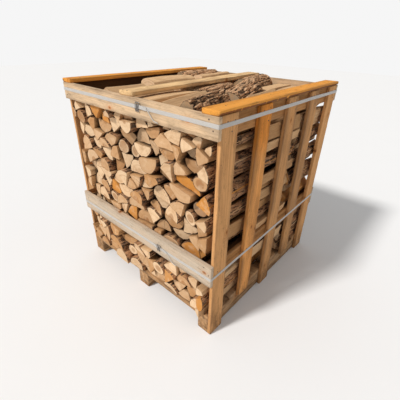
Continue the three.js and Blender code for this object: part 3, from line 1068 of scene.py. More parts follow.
def log_end(body, which, direction, rind):
    """Rings that close one end of each log, and its middle point. From the rim they draw in by an
    arris, then by the bark's thickness, then to 0.55 of the way out, dished by noise."""
    rim = body[:, which]
    middle = rim.mean(1, keepdims=True)
    ray = rim - middle
    reach = np.maximum(np.linalg.norm(ray, axis=-1, keepdims=True), 1e-6)
    rings = [rim - ray / reach * np.minimum(draw, reach * 0.4) for draw in (SAWN_ARRIS, SAWN_ARRIS + rind)]
    rings.append(middle + (rings[1] - middle) * 0.55)
    made = np.stack(rings, 1)
    dish = stretched_noise(made[..., [0, 2, 1]], 0.02, 9.0, 6)
    made[..., 1] += direction * SAWN_ARRIS + 0.0005 * dish
    return made, middle[:, 0] + np.array([0, direction * SAWN_ARRIS, 0])


def log_finish(bark, rings, around):
    """Material number of each quad, which is 0 on a split face, 1 on bark and 2 on a sawn end,
    and whether it is smooth, as all are but the ends'."""
    ring = np.repeat(np.arange(rings - 1), around)
    on_end = (ring < 2) | (ring >= rings - 3)
    rim = np.isin(ring, (1, 2, rings - 4, rings - 3))
    barked = bark[:, np.tile(np.arange(around), rings - 1)]
    finish = np.where(on_end & ~rim, 2, np.where(barked, 1, np.where(on_end | rim, 2, 0)))
    return finish, ~on_end


def log_relief(lift, per_log):
    """Height of the bark and of the painted shade on the ends' rim, at every point of each log."""
    count, stations, around = lift.shape
    height = np.zeros((count, stations + 6, around))
    height[:, 3:-3] = lift
    edge = np.zeros((stations + 6, around))
    edge[[2, 3, -4, -3]] = 1
    edge[[4, -5]] = 0.25
    relief = np.full((count, per_log, 3), 0.5)
    relief[:, :-2, 0] = height.reshape(count, -1)
    relief[:, :-2, 1] = edge.ravel()
    relief[:, -2:, 1] = 0
    return relief


def values_of(splits, key, default, axes):
    """One number of each split, with so many axes of length one after it."""
    return np.array([s.get(key, default) for s in splits]).reshape(-1, *(1,) * axes)


def log_sides(rng, splits, outline, bark, pith, own_start, t):
    """Sides of the logs at shares t of their length: centre + taper * turn(outline - centre) +
    bend, moved out along the outline's normal by fibre noise on a split face, or by ridged noise
    on bark. Returned with the place along the log and the height of its bark."""
    count = len(splits)
    centre = outline.mean(1)
    taper = 1 + rng.uniform(-0.05, 0.05, count)[:, None, None] * t[None, :, None]
    twist = rng.normal(0, 0.045, count)[:, None, None] * t[None, :, None]
    bend = rng.normal(0, 0.0025, (count, 1, 1, 2)) * np.sin(math.pi * t)[None, :, None, None]
    flat = (outline - centre[:, None])[:, None]
    cos, sin = np.cos(twist), np.sin(twist)
    side_x = (flat[..., 0] * cos - flat[..., 1] * sin) * taper
    side_z = (flat[..., 0] * sin + flat[..., 1] * cos) * taper
    side = np.stack([side_x, side_z], -1) + centre[:, None, None] + bend
    side[..., 0] += values_of(splits, "lean", 0.0, 2) * (t - 0.5)[None, :, None]

    ends = np.array([s["ends"] for s in splits])
    y = ends[:, 0, None] + (ends[:, 1] - ends[:, 0])[:, None] * t
    in_tree = side - pith[:, None, None]
    grain = y[..., None] + own_start[:, None, None] + 0 * side[..., 0]
    tree = np.concatenate([in_tree, grain[..., None]], -1)
    fibre = 0.0009 * stretched_noise(tree, 0.007, 0.16, 1) + 0.0026 * stretched_noise(tree, 0.045, 0.22, 2)
    stretch = np.where([False, False, True], values_of(splits, "stretch", 1.0, 3), 1.0)
    lift = bark_plates(tree * stretch * values_of(splits, "fineness", 0.7, 3))
    swollen = values_of(splits, "crust", 0.0, 2) * (lift - 0.8)
    swollen = swollen + 0.0022 * stretched_noise(tree, 0.05, 0.12, 5)
    calm = 0.3 + 0.7 * ramp(np.minimum(t, 1 - t), 0.0, 0.05)
    on_bark = bark.astype(float)
    on_bark = np.minimum(on_bark, np.roll(on_bark, 1, 1))[:, None]
    push = on_bark * swollen * calm[None, :, None] + (1 - on_bark) * fibre
    tangent = np.roll(outline, -1, 1) - np.roll(outline, 1, 1)
    normal = unit(np.stack([tangent[..., 1], -tangent[..., 0]], -1))
    return side + normal[:, None] * push[..., None], y, lift


def slanted(rng, side, centre, y, t):
    """Place along the log of every side point, so that its ends are cut by the planes
    y = y0 + a (x - cx) + b (z - cz) and stay inside its length. One end in eight is steeper."""
    count = len(side)
    slant = np.clip(rng.normal(0, 0.075, (count, 2, 2)), -0.17, 0.17)
    steep = rng.random((count, 2)) < 0.12
    slant = slant * np.where(steep, 2.2, 1.0)[..., None]
    offset = side - centre[:, None, None]
    rise = [(offset * slant[:, k][:, None, None]).sum(-1) for k in (0, 1)]
    rise[0] = rise[0] - rise[0][:, :1].min(-1, keepdims=True)
    rise[1] = rise[1] - rise[1][:, -1:].max(-1, keepdims=True)
    return y[..., None] + (1 - t)[None, :, None] * rise[0] + t[None, :, None] * rise[1]


def split_surfaces(splits, around, stations, seed):
    """Closed log surfaces from outlines, all worked out at once, with stations closer together
    towards their ends."""
    rng = np.random.default_rng(seed)
    count = len(splits)
    sampled = [resampled(s, around) for s in splits]
    outline = np.stack([p for p, _ in sampled])
    bark = np.stack([b for _, b in sampled])
    pith = np.stack([s["pith"] for s in splits])
    own_start = figure_start(np.arange(count) + seed)
    t = 0.5 - 0.5 * np.cos(math.pi * np.linspace(0, 1, stations))
    side, along, lift = log_sides(rng, splits, outline, bark, pith, own_start, t)
    y = slanted(rng, side, outline.mean(1), along, t)
    body = np.stack([side[..., 0], y, side[..., 1]], -1)

    rind = values_of(splits, "rind", 0.0, 2)
    front, front_heart = log_end(body, 0, -1, rind)
    back, back_heart = log_end(body, -1, 1, rind)
    tube = np.concatenate([front[:, ::-1], body, back], 1)
    rings_total = tube.shape[1]
    per_log = rings_total * around + 2
    points = np.concatenate([tube.reshape(count, -1, 3), front_heart[:, None], back_heart[:, None]], 1)
    quads = tube_faces(rings_total, around)[:, ::-1]
    fans = closing_fans(rings_total, around)[:, ::-1]
    start = (np.arange(count) * per_log)[:, None, None]
    finish, smooth = log_finish(bark, rings_total, around)

    look = np.repeat(np.array([s["look"] for s in splits])[:, None], per_log, 1)
    own = points[..., [0, 2, 1]] - np.concatenate([pith, np.zeros((count, 1))], 1)[:, None]
    own[..., 2] += own_start[:, None]
    attributes = {"tree": own, "look": look, "relief": log_relief(lift, per_log)}
    return {
        "points": points.reshape(-1, 3),
        "quads": (quads[None] + start).reshape(-1, 4),
        "triangles": (fans[None] + start).reshape(-1, 3),
        "finish": [finish.reshape(-1), np.full(count * len(fans), 2)],
        "smooth": [np.tile(smooth, count), np.zeros(count * len(fans), bool)],
        "attributes": {label: values.reshape(-1, 3) for label, values in attributes.items()},
    }


def hollow_sides(rng, splits, half_width, share):
    """Thins the splits next to a wall, draws some in from it, and lets them lean along their
    length, all of it times the share."""
    for split in splits:
        outline = split["outline"]
        side = np.sign(outline[:, 0].mean())
        if (side * outline[:, 0]).max() < half_width - 0.03:
            continue
        thinner = 1 - share * (1 - rng.uniform(0.74, 0.96))
        pulled = share * rng.uniform(0.0, 0.034) * (rng.random() < 0.7)
        anchor = np.array([side * (side * outline[:, 0]).max(), outline[:, 1].min()])
        split["outline"] = anchor + (outline - anchor) * thinner - (side * pulled, 0)
        split["pith"] = anchor + (split["pith"] - anchor) * thinner - (side * pulled, 0)
        split["lean"] = rng.uniform(-1.8, 1.8) * min(pulled, 0.014)


def draw_looks(rng, splits):
    """Gives each split its tone, grime and heart size."""
    for split in splits:
        aged = split["kind"] == "round" and rng.random() < 0.7
        heart = rng.uniform(0.5, 1.0) if aged else rng.uniform(0, 0.8)
        split["look"] = (rng.random(), rng.uniform(0, 0.5) ** 2, heart)
        split["crust"] = rng.uniform(0.001, 0.0045)
        split["rind"] = 0.0006 + rng.uniform(0, 1) ** 2 * 0.0034


# ---- pieces -----------------------------------------------------------------------


def log_materials():
    """The three finishes that all splits share, made once."""
    s = bpy.context.scene.firewood_settings
    names = ("log-split-face", "log-bark", "log-end")
    if any(name not in bpy.data.materials for name in names):
        return [split_face_material(s), bark_material(s), end_grain_material(s)]
    return [bpy.data.materials[name] for name in names]


# Which way each row's outer ends face.
OUTWARD = {"front": -1, "middle": 0, "back": 1}
# How far the ends above the middle rail may reach from the crate's middle.
PROUD = 0.524
# Widths of the zones beside a wall: where the back row is thinned less, where its ends line up,
# and where logs are seen and so carry more detail; and the depth of such a zone under the top.
THIN_ZONE, EVEN_ZONE, SEEN_ZONE, TOP_ZONE = 0.1, 0.06, 0.07, 0.05


def near_wall(split, half_width, zone):
    """Whether a split reaches into the zone beside either wall."""
    return np.abs(split["outline"][:, 0]).max() > half_width - zone


def cut_ends(rng, splits, row, half_width, settings):
    """Cuts the splits of a row to length. Outer ends are drawn in at random from the furthest they
    may reach, which is just behind the middle rail where a split crosses it."""
    low, high = node_box(f"firewood-row-{row}")
    rail_low, rail_high = node_box("rail-front-middle")
    rail = (rail_low[2] - 0.002, rail_high[2] + 0.002)
    behind_rail = rail_high[1] + 0.0005
    stack_front = node_box("firewood-row-front")[0][1]
    outward = OUTWARD[row]
    for split in splits:
        z = split["outline"][:, 1]
        front, back = low[1], high[1]
        if outward:
            crosses = z.max() > rail[0] and z.min() < rail[1]
            above = z.min() > rail[0]
            proud = -behind_rail if crosses else (PROUD if above else -stack_front)
            drawn_in = settings.scatter * rng.uniform(0, 1) ** (1.6 if crosses else 1.15)
            evened = outward > 0 and near_wall(split, half_width, EVEN_ZONE)
            tip = proud - drawn_in * (0.3 if evened else 1.0)
            inner = min(abs(front), abs(back)) + rng.uniform(0, 0.004)
            split["ends"] = (-tip, -inner) if outward < 0 else (inner, tip)
        else:
            split["ends"] = (front + rng.uniform(0, 0.012), back - rng.uniform(0, 0.012))


def stack_row(row, seed, settings):
    """Stacks one row, cuts it to length, and makes its pieces."""
    rng = np.random.default_rng(seed)
    low, high = node_box(f"firewood-row-{row}")
    half_width = high[0] - 0.0006
    batten_low, batten_high = node_box("batten-right-middle")
    battens = {"side": batten_low[0] - 0.001, "low": batten_low[2] - 0.001, "top": batten_high[2] + 0.001}
    floor, ceiling = low[2], high[2] + 0.002
    placed = stack_splits(rng, settings, half_width, floor, ceiling, battens)
    if not placed:
        raise RuntimeError(f"no split fits in the {row} row")
    swell_splits(placed, half_width, floor, ceiling, battens)
    for split in placed:
        outline = split["outline"]
        kept_wide = row == "back" and near_wall(split, half_width, THIN_ZONE)
        gap = rng.uniform(0.015, 0.075) * (0.3 if kept_wide else 1.0)
        split["outline"] = outline.mean(0) + (outline - outline.mean(0)) * (1 - gap)
    hollow_sides(rng, placed, half_width, 0.1 if row == "back" else 1.0)
    draw_looks(rng, placed)
    cut_ends(rng, placed, row, half_width, settings)

    seen, hidden = [], []
    for split in placed:
        on_top = split["outline"][:, 1].max() > ceiling - TOP_ZONE
        (seen if on_top or near_wall(split, high[0], SEEN_ZONE) else hidden).append(split)
    around, stations = (36, 7) if OUTWARD[row] else (18, 3)
    core = split_surfaces(hidden, around, stations, seed)
    shell = split_surfaces(seen, 46, 20, seed + 40)
    materials = log_materials()
    make_piece(f"stacked-splits-{row}", core, materials, [f"firewood-row-{row}"])
    make_piece(f"side-splits-{row}", shell, materials, [f"firewood-row-{row}"])


def loose_outline(shape, low, high, rng):
    """Outline of a split lying loose, turned and scaled to fill its box: flat face up, ridge up,
    bark up, or round. Each cut is chosen for the shape in a tree of radius one."""
    cuts, turn = {
        "face": ([(math.pi, -0.05), (1.7, 0.86)], -math.pi / 2 + 0.06),
        "ridge": ([(math.pi / 2 + 0.75, -0.05), (-math.pi / 2 - 0.8, -0.03)], -math.pi / 2 + 0.12),
        "bark": ([(math.pi, 0.12), (1.9, 0.9)], math.pi / 2 - 0.05),
        "bare": ([(math.pi, 0.1), (1.4, 0.75), (-1.3, 0.8)], math.pi / 2 + 0.1),
        "round": ([], 0.4),
    }[shape]
    outline, bark = split_outline(cuts, 1.0, rng.uniform(0, 6.28, 3))
    outline = turned(outline, turn)
    lowest, highest = outline.min(0), outline.max(0)
    scale = (high[[0, 2]] - low[[0, 2]]) / (highest - lowest)
    return {
        "outline": (outline - lowest) * scale + low[[0, 2]],
        "pith": -lowest * scale + low[[0, 2]],
        "bark": bark & (shape != "bare"),
        "kind": shape,
        "ends": (low[1], high[1]),
    }


def swept_tube(path, thick, around=8):
    """Round bar along a closed path: p + r (cos a * side + sin a * lift), where side lies across
    the way and lift is square to both."""
    way = unit(np.roll(path, -1, 0) - np.roll(path, 1, 0))
    side = unit(np.cross(way, (0.0, 1.0, 0.0)))
    lift = np.cross(side, way)
    a = np.linspace(0, 2 * np.pi, around, endpoint=False)[None, :, None]
    points = path[:, None] + thick / 2 * (np.cos(a) * side[:, None] + np.sin(a) * lift[:, None])
    count = len(path)
    quads = tube_faces(count + 1, around) % (count * around)
    return plain_surface(points.reshape(-1, 3), quads, np.zeros((0, 3), int))


def smoothed(path, times):
    """Closed path with its corners rounded: each pass puts two places on every stretch, at a
    quarter and three quarters of it."""
    for _ in range(times):
        after = np.roll(path, -1, 0)
        path = np.stack([0.75 * path + 0.25 * after, 0.25 * path + 0.75 * after], 1).reshape(-1, 3)
    return path


def band_surface(path, outward, width, thick, closed, ridges=11):
    """Strap along a path: a flat section that reaches t / 2 in and t (0.5 + 0.18 |sin|) out, with
    one low ridge for each cord. Its tree attribute is the place across, out and along."""
    across = np.linspace(-1, 1, 2 * ridges + 1)
    lift = 0.5 + 0.18 * np.abs(np.sin(across * ridges * math.pi / 2))
    edge = np.sqrt(np.clip(1 - np.abs(across) ** 14, 0, 1))
    top = np.stack([across * width / 2, lift * edge * thick], -1)
    under = np.stack([across[::-2] * width / 2, -0.5 * edge[::-2] * thick], -1)[1:-1]
    section = np.concatenate([top, under])
    way = np.roll(path, -1, 0) - np.roll(path, 1, 0) if closed else np.gradient(path, axis=0)
    sideways = unit(np.cross(unit(way), outward))
    count, around = len(path), len(section)
    points = path[:, None] + section[:, :1] * sideways[:, None] + section[:, 1:] * outward[:, None]
    run = np.concatenate([[0], np.cumsum(np.linalg.norm(np.diff(path, axis=0), axis=1))])
    tree = np.zeros_like(points)
    tree[..., 0] = section[:, 0]
    tree[..., 1] = section[:, 1]
    tree[..., 2] = run[:, None]
    points, tree = points.reshape(-1, 3), tree.reshape(-1, 3)
    if closed:
        quads = tube_faces(count + 1, around) % (count * around)
        return plain_surface(points, quads, np.zeros((0, 3), int), tree)
    ends = np.stack([path[0], path[-1]])
    points, tree = np.concatenate([points, ends]), np.concatenate([tree, np.zeros((2, 3))])
    return plain_surface(points, tube_faces(count, around), closing_fans(count, around), tree)


def nail_heads(places, ways, radius, rng):
    """Domed nail heads: rings of radius r cos b at height 0.35 r sin b over the wood, each with
    its rim sunk into the board, leaning a little."""
    around, rings = 8, np.array([-0.35, 0.0, 0.5, 1.1])
    a = np.linspace(0, 2 * np.pi, around, endpoint=False)
    ways = unit(ways + rng.normal(0, 0.09, ways.shape))
    first = unit(np.cross(ways, (0.31, 0.52, 0.8)))
    second = np.cross(ways, first)
    reach = radius * np.cos(np.clip(rings, 0, None))
    height = 0.35 * radius * np.sin(rings) + 0.0002
    circle = np.cos(a)[:, None] * first[:, None] + np.sin(a)[:, None] * second[:, None]
    body = places[:, None, None] + reach[None, :, None, None] * circle[:, None]
    body = body + height[None, :, None, None] * ways[:, None, None]
    tops = places + (height[-1] + 0.06 * radius) * ways
    bottoms = places + height[0] * ways
    count, per = len(places), len(rings) * around + 2
    points = np.concatenate([body.reshape(count, -1, 3), bottoms[:, None], tops[:, None]], 1)
    start = (np.arange(count) * per)[:, None, None]
    quads = (tube_faces(len(rings), around)[None] + start).reshape(-1, 4)
    fans = (closing_fans(len(rings), around)[None] + start).reshape(-1, 3)
    return plain_surface(points.reshape(-1, 3), quads, fans)


def board_piece(node, material, slot, seed, settings, **options):
    """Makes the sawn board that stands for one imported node."""
    low, high = node_box(node)
    surface = board_surface(low, high, seed, settings, **options)
    make_piece(f"sawn-{node}", surface, [material], [node])


class CRATE_OT_make_base(Operator):
    """Make the skids, stringers and deck boards"""

    bl_idname = "crate.make_base"
    bl_label = "Make base"

    def execute(self, context):
        s = context.scene.timber_settings
        material = sawn_material("sawn-base", s.base, 0.12, 0.6)
        names = nodes_starting("skid") + nodes_starting("stringer") + nodes_starting("deck-board")
        for seed, node in enumerate(names):
            board_piece(node, material, "base", 100 + seed, s)
        return {"FINISHED"}


class CRATE_OT_make_side_panels(Operator):
    """Make the slats, the battens behind them and the cap boards"""

    bl_idname = "crate.make_side_panels"
    bl_label = "Make side panels"

    def execute(self, context):
        s = context.scene.timber_settings
        slat = sawn_material("sawn-slat", s.slat, 0.0, 0.5)
        warm = sawn_material("sawn-slat-warm", s.warm, 0.0, 0.6, resin=1.0)
        # inside=0.9 paints shade on the battens' inner faces
        brown = sawn_material("sawn-batten", s.batten, 0.0, 0.6, inside=0.9)
        for seed, node in enumerate(nodes_starting("slat") + nodes_starting("batten")):
            material = warm if node in ("slat-right-2", "slat-left-4") else slat
            material = brown if node.startswith("batten") else material
            board_piece(node, material, "slat", 200 + seed, s)
        cap = sawn_material("sawn-cap", s.cap, 0.0, 0.4, (0.55, 0.16, 0.02))
        for seed, node in enumerate(nodes_starting("cap")):
            waney = (0.013, 0.002, 0.0, 0.0) if node.endswith("left") else (0.0, 0.0, 0.013, 0.002)
            board_piece(node, cap, "cap", 240 + seed, s, wane=waney, step=0.008)
        return {"FINISHED"}


class CRATE_OT_make_rails(Operator):
    """Make the front and back rails and the centre board"""

    bl_idname = "crate.make_rails"
    bl_label = "Make rails"

    def execute(self, context):
        s = context.scene.timber_settings
        rail = sawn_material("sawn-rail", s.rail, 0.22, 0.55, (0.60, 0.20, 0.05))
        weathered = sawn_material("weathered-rail", s.weathered, 0.6, 0.75)
        for seed, node in enumerate(nodes_starting("rail")):
            grey = node.endswith("middle")
            board_piece(node, weathered if grey else rail, "weathered" if grey else "rail", 300 + seed, s)
        low, high = node_box("centre-board")
        width, length, skew = 0.085, 1.048, math.radians(2.7)
        middle = (low + high) / 2
        half = np.array([width / 2, length / 2, (high[2] - low[2]) / 2])
        board = board_surface(middle - half, middle + half, 330, s, skew=skew, step=0.015)
        fresh = sawn_material("sawn-centre", s.fresh, 0.0, 0.4)
        make_piece("sawn-centre-board", board, [fresh], ["centre-board"])
        return {"FINISHED"}


class CRATE_OT_stack_rows(Operator):
    """Stack the three rows of split logs"""

    bl_idname = "crate.stack_rows"
    bl_label = "Stack rows"

    def execute(self, context):
        s = context.scene.firewood_settings
        for number, row in enumerate(("front", "middle", "back")):
            stack_row(row, s.seed + 1000 * number, s)
        return {"FINISHED"}


# Each loose split's shape, then how it lies: its turn in degrees, its shift to the
# right and its rise in metres, how much taller it is than its box, and the pitch of its far
# end in degrees.
LOOSE_SPLITS = {
    "front": (
        ("ridge", 18, -0.012, 0.0, 1.0, -4), ("ridge", 3, 0.0, 0.0, 1.0, 0),
        ("face", 4, -0.004, 0.002, 1.0, 0), ("ridge", 9, 0.004, 0.004, 1.0, 0),
        ("bark", 14, -0.002, 0.006, 1.55, 0), ("round", -3, 0.0, 0.0, 0.9, 0),
    ),
    "middle": (
        ("bare", -6, -0.070, 0.004, 1.0, 0), ("face", 3, 0.0, 0.0, 1.0, 0),
        ("bark", 5, 0.0, 0.0, 1.1, 0), ("bark", 14, 0.020, -0.004, 1.12, 5),
        ("ridge", 8, 0.006, 0.0, 1.0, 0),
    ),
    "back": (
        ("bark", -6, -0.004, 0.0, 1.12, 0), ("bare", 4, -0.010, 0.004, 1.15, 0),
        ("face", -3, 0.0, 0.0, 1.0, 0), ("bark", 9, 0.0, 0.0, 1.1, 0),
        ("face", 2, 0.0, 0.0, 1.0, 0), ("face", 6, 0.0, -0.012, 0.8, 0),
    ),
}


def lay_split(rng, label, shape, degrees, shift, rise, taller, pitch):
    """Makes one loose split that fills its packed box, then pitches, turns and moves it."""
    node = f"split-{label}"
    low, high = node_box(node)
    high[2] = low[2] + (high[2] - low[2]) * taller
    split = loose_outline(shape, low, high, rng)
    draw_looks(rng, [split])
    barked = shape in ("bark", "round")
    tone, grime = (0.85, 1.0) if barked else (0.3 * split["look"][0], 0.02)
    split["look"] = (tone, grime, split["look"][2])
    split["fineness"] = 1.0
    split["crust"] = 0.009 if barked else 0.004
    split["stretch"] = 0.3 if label == "middle-4" else 0.5
    around, stations = (140, 84) if barked else (84, 36)
    surface = split_surfaces([split], around, stations, int(rng.integers(9999)))
    points, middle = surface["points"], (low + high) / 2
    flat = points[:, :2] - middle[:2]
    points[:, 2] += flat[:, 1] * math.tan(math.radians(pitch))
    points[:, :2] = turned(flat, math.radians(degrees)) + middle[:2] + (shift, 0)
    points[:, 2] += rise
    make_piece(f"loose-{label}", surface, log_materials(), [node])


class CRATE_OT_lay_loose_splits(Operator):
    """Lay the loose splits on top of the rows"""

    bl_idname = "crate.lay_loose_splits"
    bl_label = "Lay loose splits"

    def execute(self, context):
        rng = np.random.default_rng(context.scene.firewood_settings.seed + 5)
        for row, splits in LOOSE_SPLITS.items():
            for number, lie in enumerate(splits, start=1):
                lay_split(rng, f"{row}-{number}", *lie)
        return {"FINISHED"}


# Nails in a slat: their height, and their places across it as shares of its width. The lowest
# one, at the foot, stands higher in a slat that stops above the skid.
SLAT_NAILS = ((1.062, (0.25, 0.74)), (1.02, (0.7,)), (0.4, (0.3,)), (0.37, (0.72,)))
FOOT_NAIL, SHORT_FOOT_NAIL = 0.055, 0.1
# Nails in a rail: their place along it, and their height as a share of its own.
RAIL_NAILS = ((-0.488, 0.3), (-0.47, 0.72), (0.487, 0.36), (0.495, 0.62), (0.468, 0.82))
CAP_NAILS = np.linspace(-0.44, 0.44, 4)
CENTRE_NAILS = ((0.02, -0.517), (-0.005, -0.519), (-0.03, 0.517), (-0.055, 0.515))


class CRATE_OT_drive_nails(Operator):
    """Drive the nails into the slats, rails, caps and centre board"""

    bl_idname = "crate.drive_nails"
    bl_label = "Drive nails"

    def execute(self, context):
        s = context.scene.timber_settings
        rng = np.random.default_rng(77)
        places, ways = [], []

        def drive(x, y, z, way):
            places.append((x, y, z))
            ways.append(way)

        for node in nodes_starting("slat"):
            low, high = node_box(node)
            outward = 1 if high[0] > 0 else -1
            x = high[0] if outward > 0 else low[0]
            foot = FOOT_NAIL if low[2] < 0.02 else SHORT_FOOT_NAIL
            for z, shares in (*SLAT_NAILS, (foot, (0.5,))):
                for share in shares:
                    y = low[1] + (high[1] - low[1]) * share + rng.uniform(-0.008, 0.008)
                    drive(x, y, z + rng.uniform(-0.005, 0.005), (outward, 0, 0))
        for node in nodes_starting("rail"):
            low, high = node_box(node)
            outward = 1 if high[1] > 0 else -1
            y = high[1] if outward > 0 else low[1]
            for x, share in RAIL_NAILS:
                z = low[2] + (high[2] - low[2]) * share + rng.uniform(-0.006, 0.006)
                drive(x + rng.uniform(-0.003, 0.003), y, z, (0, outward, 0))
        for node in nodes_starting("cap"):
            low, high = node_box(node)
            for y in CAP_NAILS:
                x = rng.uniform(low[0] + 0.02, high[0] - 0.025)
                drive(x, y + rng.uniform(-0.02, 0.02), high[2], (0, 0, 1))
        top = node_box("centre-board")[1][2]
        for x, y in CENTRE_NAILS:
            drive(x, y, top, (0, 0, 1))
        surface = nail_heads(np.array(places), np.array(ways, float), s.nail, rng)
        material = steel_material("nail-steel", s.steel, 0.8)
        make_piece("nail-heads", surface, [material], [])
        return {"FINISHED"}


# Radius of a strap's bend at a corner, and how far it wanders up and down.
STRAP_BEND, STRAP_WAVE = 0.004, 0.0012
# Length of the doubled stretch under a buckle.
OVERLAP = 0.085


def strap_loop(half):
    """Rectangle with rounded corners in plan: for each corner its arc c + b (cos a, sin a), then
    the straight stretch to the next one."""
    corners = []
    for quarter, (sx, sy) in enumerate(((1, -1), (1, 1), (-1, 1), (-1, -1))):
        a = -math.pi / 2 + (quarter + np.linspace(0, 1, 7)) * math.pi / 2
        x = sx * (half[0] - STRAP_BEND) + STRAP_BEND * np.cos(a)
        y = sy * (half[1] - STRAP_BEND) + STRAP_BEND * np.sin(a)
        corners.append(np.stack([x, y], -1))
    loop = []
    for quarter, corner in enumerate(corners):
        start, end = corner[-1], corners[(quarter + 1) % 4][0]
        loop += [corner, start + (end - start) * np.linspace(0, 1, 60)[1:-1, None]]
    return np.concatenate(loop)


def tight_strap(low, high):
    """Strap round the crate inside its box, rising evenly from front to back."""
    rise = high[2] - low[2] - STRAP_WIDTH
    half = high[:2] - STRAP_THICKNESS / 2
    loop = strap_loop(half)
    way = np.roll(loop, -1, 0) - np.roll(loop, 1, 0)
    outward = unit(np.stack([way[:, 1], -way[:, 0], np.zeros(len(loop))], -1))
    z = (low[2] + high[2]) / 2 + rise * loop[:, 1] / (2 * half[1])
    sample = np.stack([loop[:, 0] / 0.2, loop[:, 1] / 0.2, np.full_like(z, rise * 90)], -1)
    path = np.column_stack([loop, z + STRAP_WAVE * lattice_noise(sample, 8)])
    return band_surface(path, outward, STRAP_WIDTH, STRAP_THICKNESS, True)


def strap_ends(face, x, level, tail_length):
    """The doubled stretch that lies over the strap at the buckle, and the loose tail that hangs
    from it and twists."""
    run = np.linspace(0, 1, 40)
    doubled = np.column_stack([
        x - 0.034 + OVERLAP * run,
        face - 0.0022 - 0.0012 * np.sin(run * math.pi * 3) ** 2,
        level + 0.0012 * np.sin(run * 4.0),
    ])
    tail = np.column_stack([
        x + 0.05 + (tail_length - 0.01) * run,
        face - 0.002 - 0.003 * np.sin(run * math.pi),
        level - 0.045 * run**0.8 + 0.004 * np.sin(run * 7),
    ])
    facing = np.tile([0.0, -1.0, 0.0], (len(run), 1))
    twisted = unit(facing + np.column_stack([0.25 * run, 0 * run, 0.5 * run]))
    over = band_surface(doubled, facing, 0.0145, 0.001, False)
    return [over, band_surface(tail, twisted, 0.0036, 0.0009, False, 2)]


class CRATE_OT_tie_straps(Operator):
    """Tie the two cord straps round the crate, with their doubled stretches and tails"""

    bl_idname = "crate.tie_straps"
    bl_label = "Tie straps"

    def execute(self, context):
        s = context.scene.strap_settings
        material = strap_material(s)
        for node in nodes_starting("strap"):
            low, high = node_box(node)
            buckle_low, buckle_high = node_box(node.replace("strap", "buckle"))
            level = (buckle_low[2] + buckle_high[2]) / 2
            ends = strap_ends(low[1], buckle_high[0] - 0.012, level, s.tail)
            surface = join_surfaces([tight_strap(low, high), *ends])
            make_piece(f"cord-{node}", surface, [material], [node])
        return {"FINISHED"}


# The wire of a buckle: places across and up its box from -1 to 1, and how far each one stands
# out in front.
BUCKLE_PLAN = (
    (-1, -1, 0), (-0.42, -1, 0), (-0.3, 0.62, 0.5), (0.1, 0.62, 0.5), (-0.02, -1, 0), (0.55, -1, 0),
    (0.66, 0.62, 0.5), (1, 0.62, 0.5), (1, 1, 0), (-0.1, 1, 0), (-1, 1, 0),
)


class CRATE_OT_hook_buckles(Operator):
    """Hook the two bent-wire buckles on the straps"""

    bl_idname = "crate.hook_buckles"
    bl_label = "Hook buckles"

    def execute(self, context):
        s = context.scene.strap_settings
        material = steel_material("buckle-wire", s.steel, 0.3)
        for node in nodes_starting("buckle"):
            low, high = node_box(node)
            middle, half = (low + high) / 2, (high - low) / 2 - s.wire / 2
            x, z, step = np.array(BUCKLE_PLAN).T
            y = middle[1] - STRAP_THICKNESS - 0.004 * step
            path = np.column_stack([middle[0] + x * half[0], y, middle[2] + z * half[2]])
            surface = swept_tube(smoothed(path, 3), s.wire, 10)
            make_piece(f"wire-{node}", surface, [material], [node])
        return {"FINISHED"}


# Half the floor's side; how strong the surround looks to the camera; the key's spread in degrees,
# its colour and direction; and how far the camera is moved left and down, as shares of the
# crate's height.
FLOOR_REACH = 14.0
SEEN_SURROUND = 0.92
KEY_SPREAD, KEY_COLOUR, KEY_WAY = 8, (1.0, 0.98, 0.955), (0.28, 0.80, -0.86)
CAMERA_LEFT, CAMERA_DOWN = 0.016, 0.145


def linked(name, data):
    """New object with this data, in the scene."""
    made = bpy.data.objects.new(name, data)
    bpy.context.scene.collection.objects.link(made)
    return made


def lay_floor(s):
    """Wide pale floor at height zero."""
    mesh = bpy.data.meshes.new("floor")
    corners = [(x * FLOOR_REACH, y * FLOOR_REACH, 0) for x, y in ((-1, -1), (1, -1), (1, 1), (-1, 1))]
    mesh.from_pydata(corners, [], [(0, 1, 2, 3)])
    floor = linked("floor", mesh)
    g = Graph("floor")
    mottle = g.noise(g.place(), 3.0, 3.0)
    g.finish(g.mix(mottle, tuple(s.floor), tuple(c * 0.985 for c in s.floor)), 0.85)
    mesh.materials.append(g.material)


def light_surround(s):
    """White surround, which looks brighter to the camera than the light it gives."""
    world = bpy.data.worlds.new("surround")
    world.use_nodes = True
    nodes, links = world.node_tree.nodes, world.node_tree.links
    background = nodes["Background"]
    background.inputs["Color"].default_value = (1.0, 1.0, 1.0, 1.0)
    seen = nodes.new("ShaderNodeLightPath").outputs["Is Camera Ray"]
    strength = nodes.new("ShaderNodeMapRange")
    strength.inputs["To Min"].default_value = s.fill
    strength.inputs["To Max"].default_value = SEEN_SURROUND
    links.new(seen, strength.inputs["Value"])
    links.new(strength.outputs["Result"], background.inputs["Strength"])
    bpy.context.scene.world = world


def light_key(s):
    """Soft sun from the front left and above."""
    sun = bpy.data.lights.new("key", "SUN")
    sun.energy = s.key
    sun.angle = math.radians(KEY_SPREAD)
    sun.color = KEY_COLOUR
    lamp = linked("key", sun)
    lamp.rotation_euler = Vector(KEY_WAY).to_track_quat("-Z", "Y").to_euler()


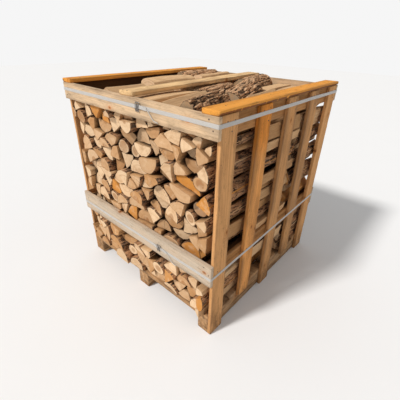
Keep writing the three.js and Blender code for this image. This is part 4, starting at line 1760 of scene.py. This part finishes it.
def aim_camera(s):
    """Camera at its bearing, height angle and distance from the crate's middle, turned by the
    roll and moved aside, with no shift of the lens."""
    height = CAD_BOX[1][2] - CAD_BOX[0][2]
    a, e, r = s.azimuth, s.elevation, s.roll
    back = Vector((math.sin(a) * math.cos(e), -math.cos(a) * math.cos(e), math.sin(e)))
    level = Vector((0, 0, 1)).cross(back).normalized()
    up = back.cross(level)
    right = level * math.cos(r) + up * math.sin(r)
    over = up * math.cos(r) - level * math.sin(r)
    middle = Vector((0, 0, height / 2))
    place = middle + back * s.reach - right * CAMERA_LEFT * height - over * CAMERA_DOWN * height
    data = bpy.data.cameras.new("camera")
    data.lens = s.lens
    data.sensor_width = 36
    data.clip_start = 0.01
    camera = linked("camera", data)
    turn = Matrix((right, over, back)).transposed().to_4x4()
    camera.matrix_world = Matrix.Translation(place) @ turn
    bpy.context.scene.camera = camera


class CRATE_OT_set_stage(Operator):
    """Set the floor, the lights and the camera"""

    bl_idname = "crate.set_stage"
    bl_label = "Set stage"

    def execute(self, context):
        s = context.scene.stage_settings
        context.scene.view_settings.view_transform = "Standard"
        lay_floor(s)
        light_surround(s)
        light_key(s)
        aim_camera(s)
        return {"FINISHED"}


OPERATORS = (
    CRATE_OT_make_base,
    CRATE_OT_make_side_panels,
    CRATE_OT_make_rails,
    CRATE_OT_drive_nails,
    CRATE_OT_tie_straps,
    CRATE_OT_hook_buckles,
    CRATE_OT_stack_rows,
    CRATE_OT_lay_loose_splits,
    CRATE_OT_set_stage,
)


class CRATE_PT_panel(Panel):
    """Lists the crate's pieces and the stage"""

    bl_label = "Firewood crate"
    bl_idname = "CRATE_PT_panel"
    bl_space_type = "VIEW_3D"
    bl_region_type = "UI"
    bl_category = "Crate"

    def draw(self, context):
        for operator in OPERATORS:
            self.layout.operator(operator.bl_idname)
        for label, group in SETTINGS.items():
            column = self.layout.column(align=True)
            for name in group.__annotations__:
                column.prop(getattr(context.scene, label), name)


CLASSES = (*SETTINGS.values(), *OPERATORS, CRATE_PT_panel)


def register():
    """Adds the operators, the panel and the settings."""
    for each in CLASSES:
        bpy.utils.register_class(each)
    for label, group in SETTINGS.items():
        setattr(bpy.types.Scene, label, PointerProperty(type=group))


def unregister():
    """Takes them away again."""
    for label in SETTINGS:
        delattr(bpy.types.Scene, label)
    for each in reversed(CLASSES):
        bpy.utils.unregister_class(each)


def main():
    """Makes the crate and the stage."""
    register()
    for operator in OPERATORS:
        family, name = operator.bl_idname.split(".")
        getattr(getattr(bpy.ops, family), name)()


if __name__ == "__main__":
    main()
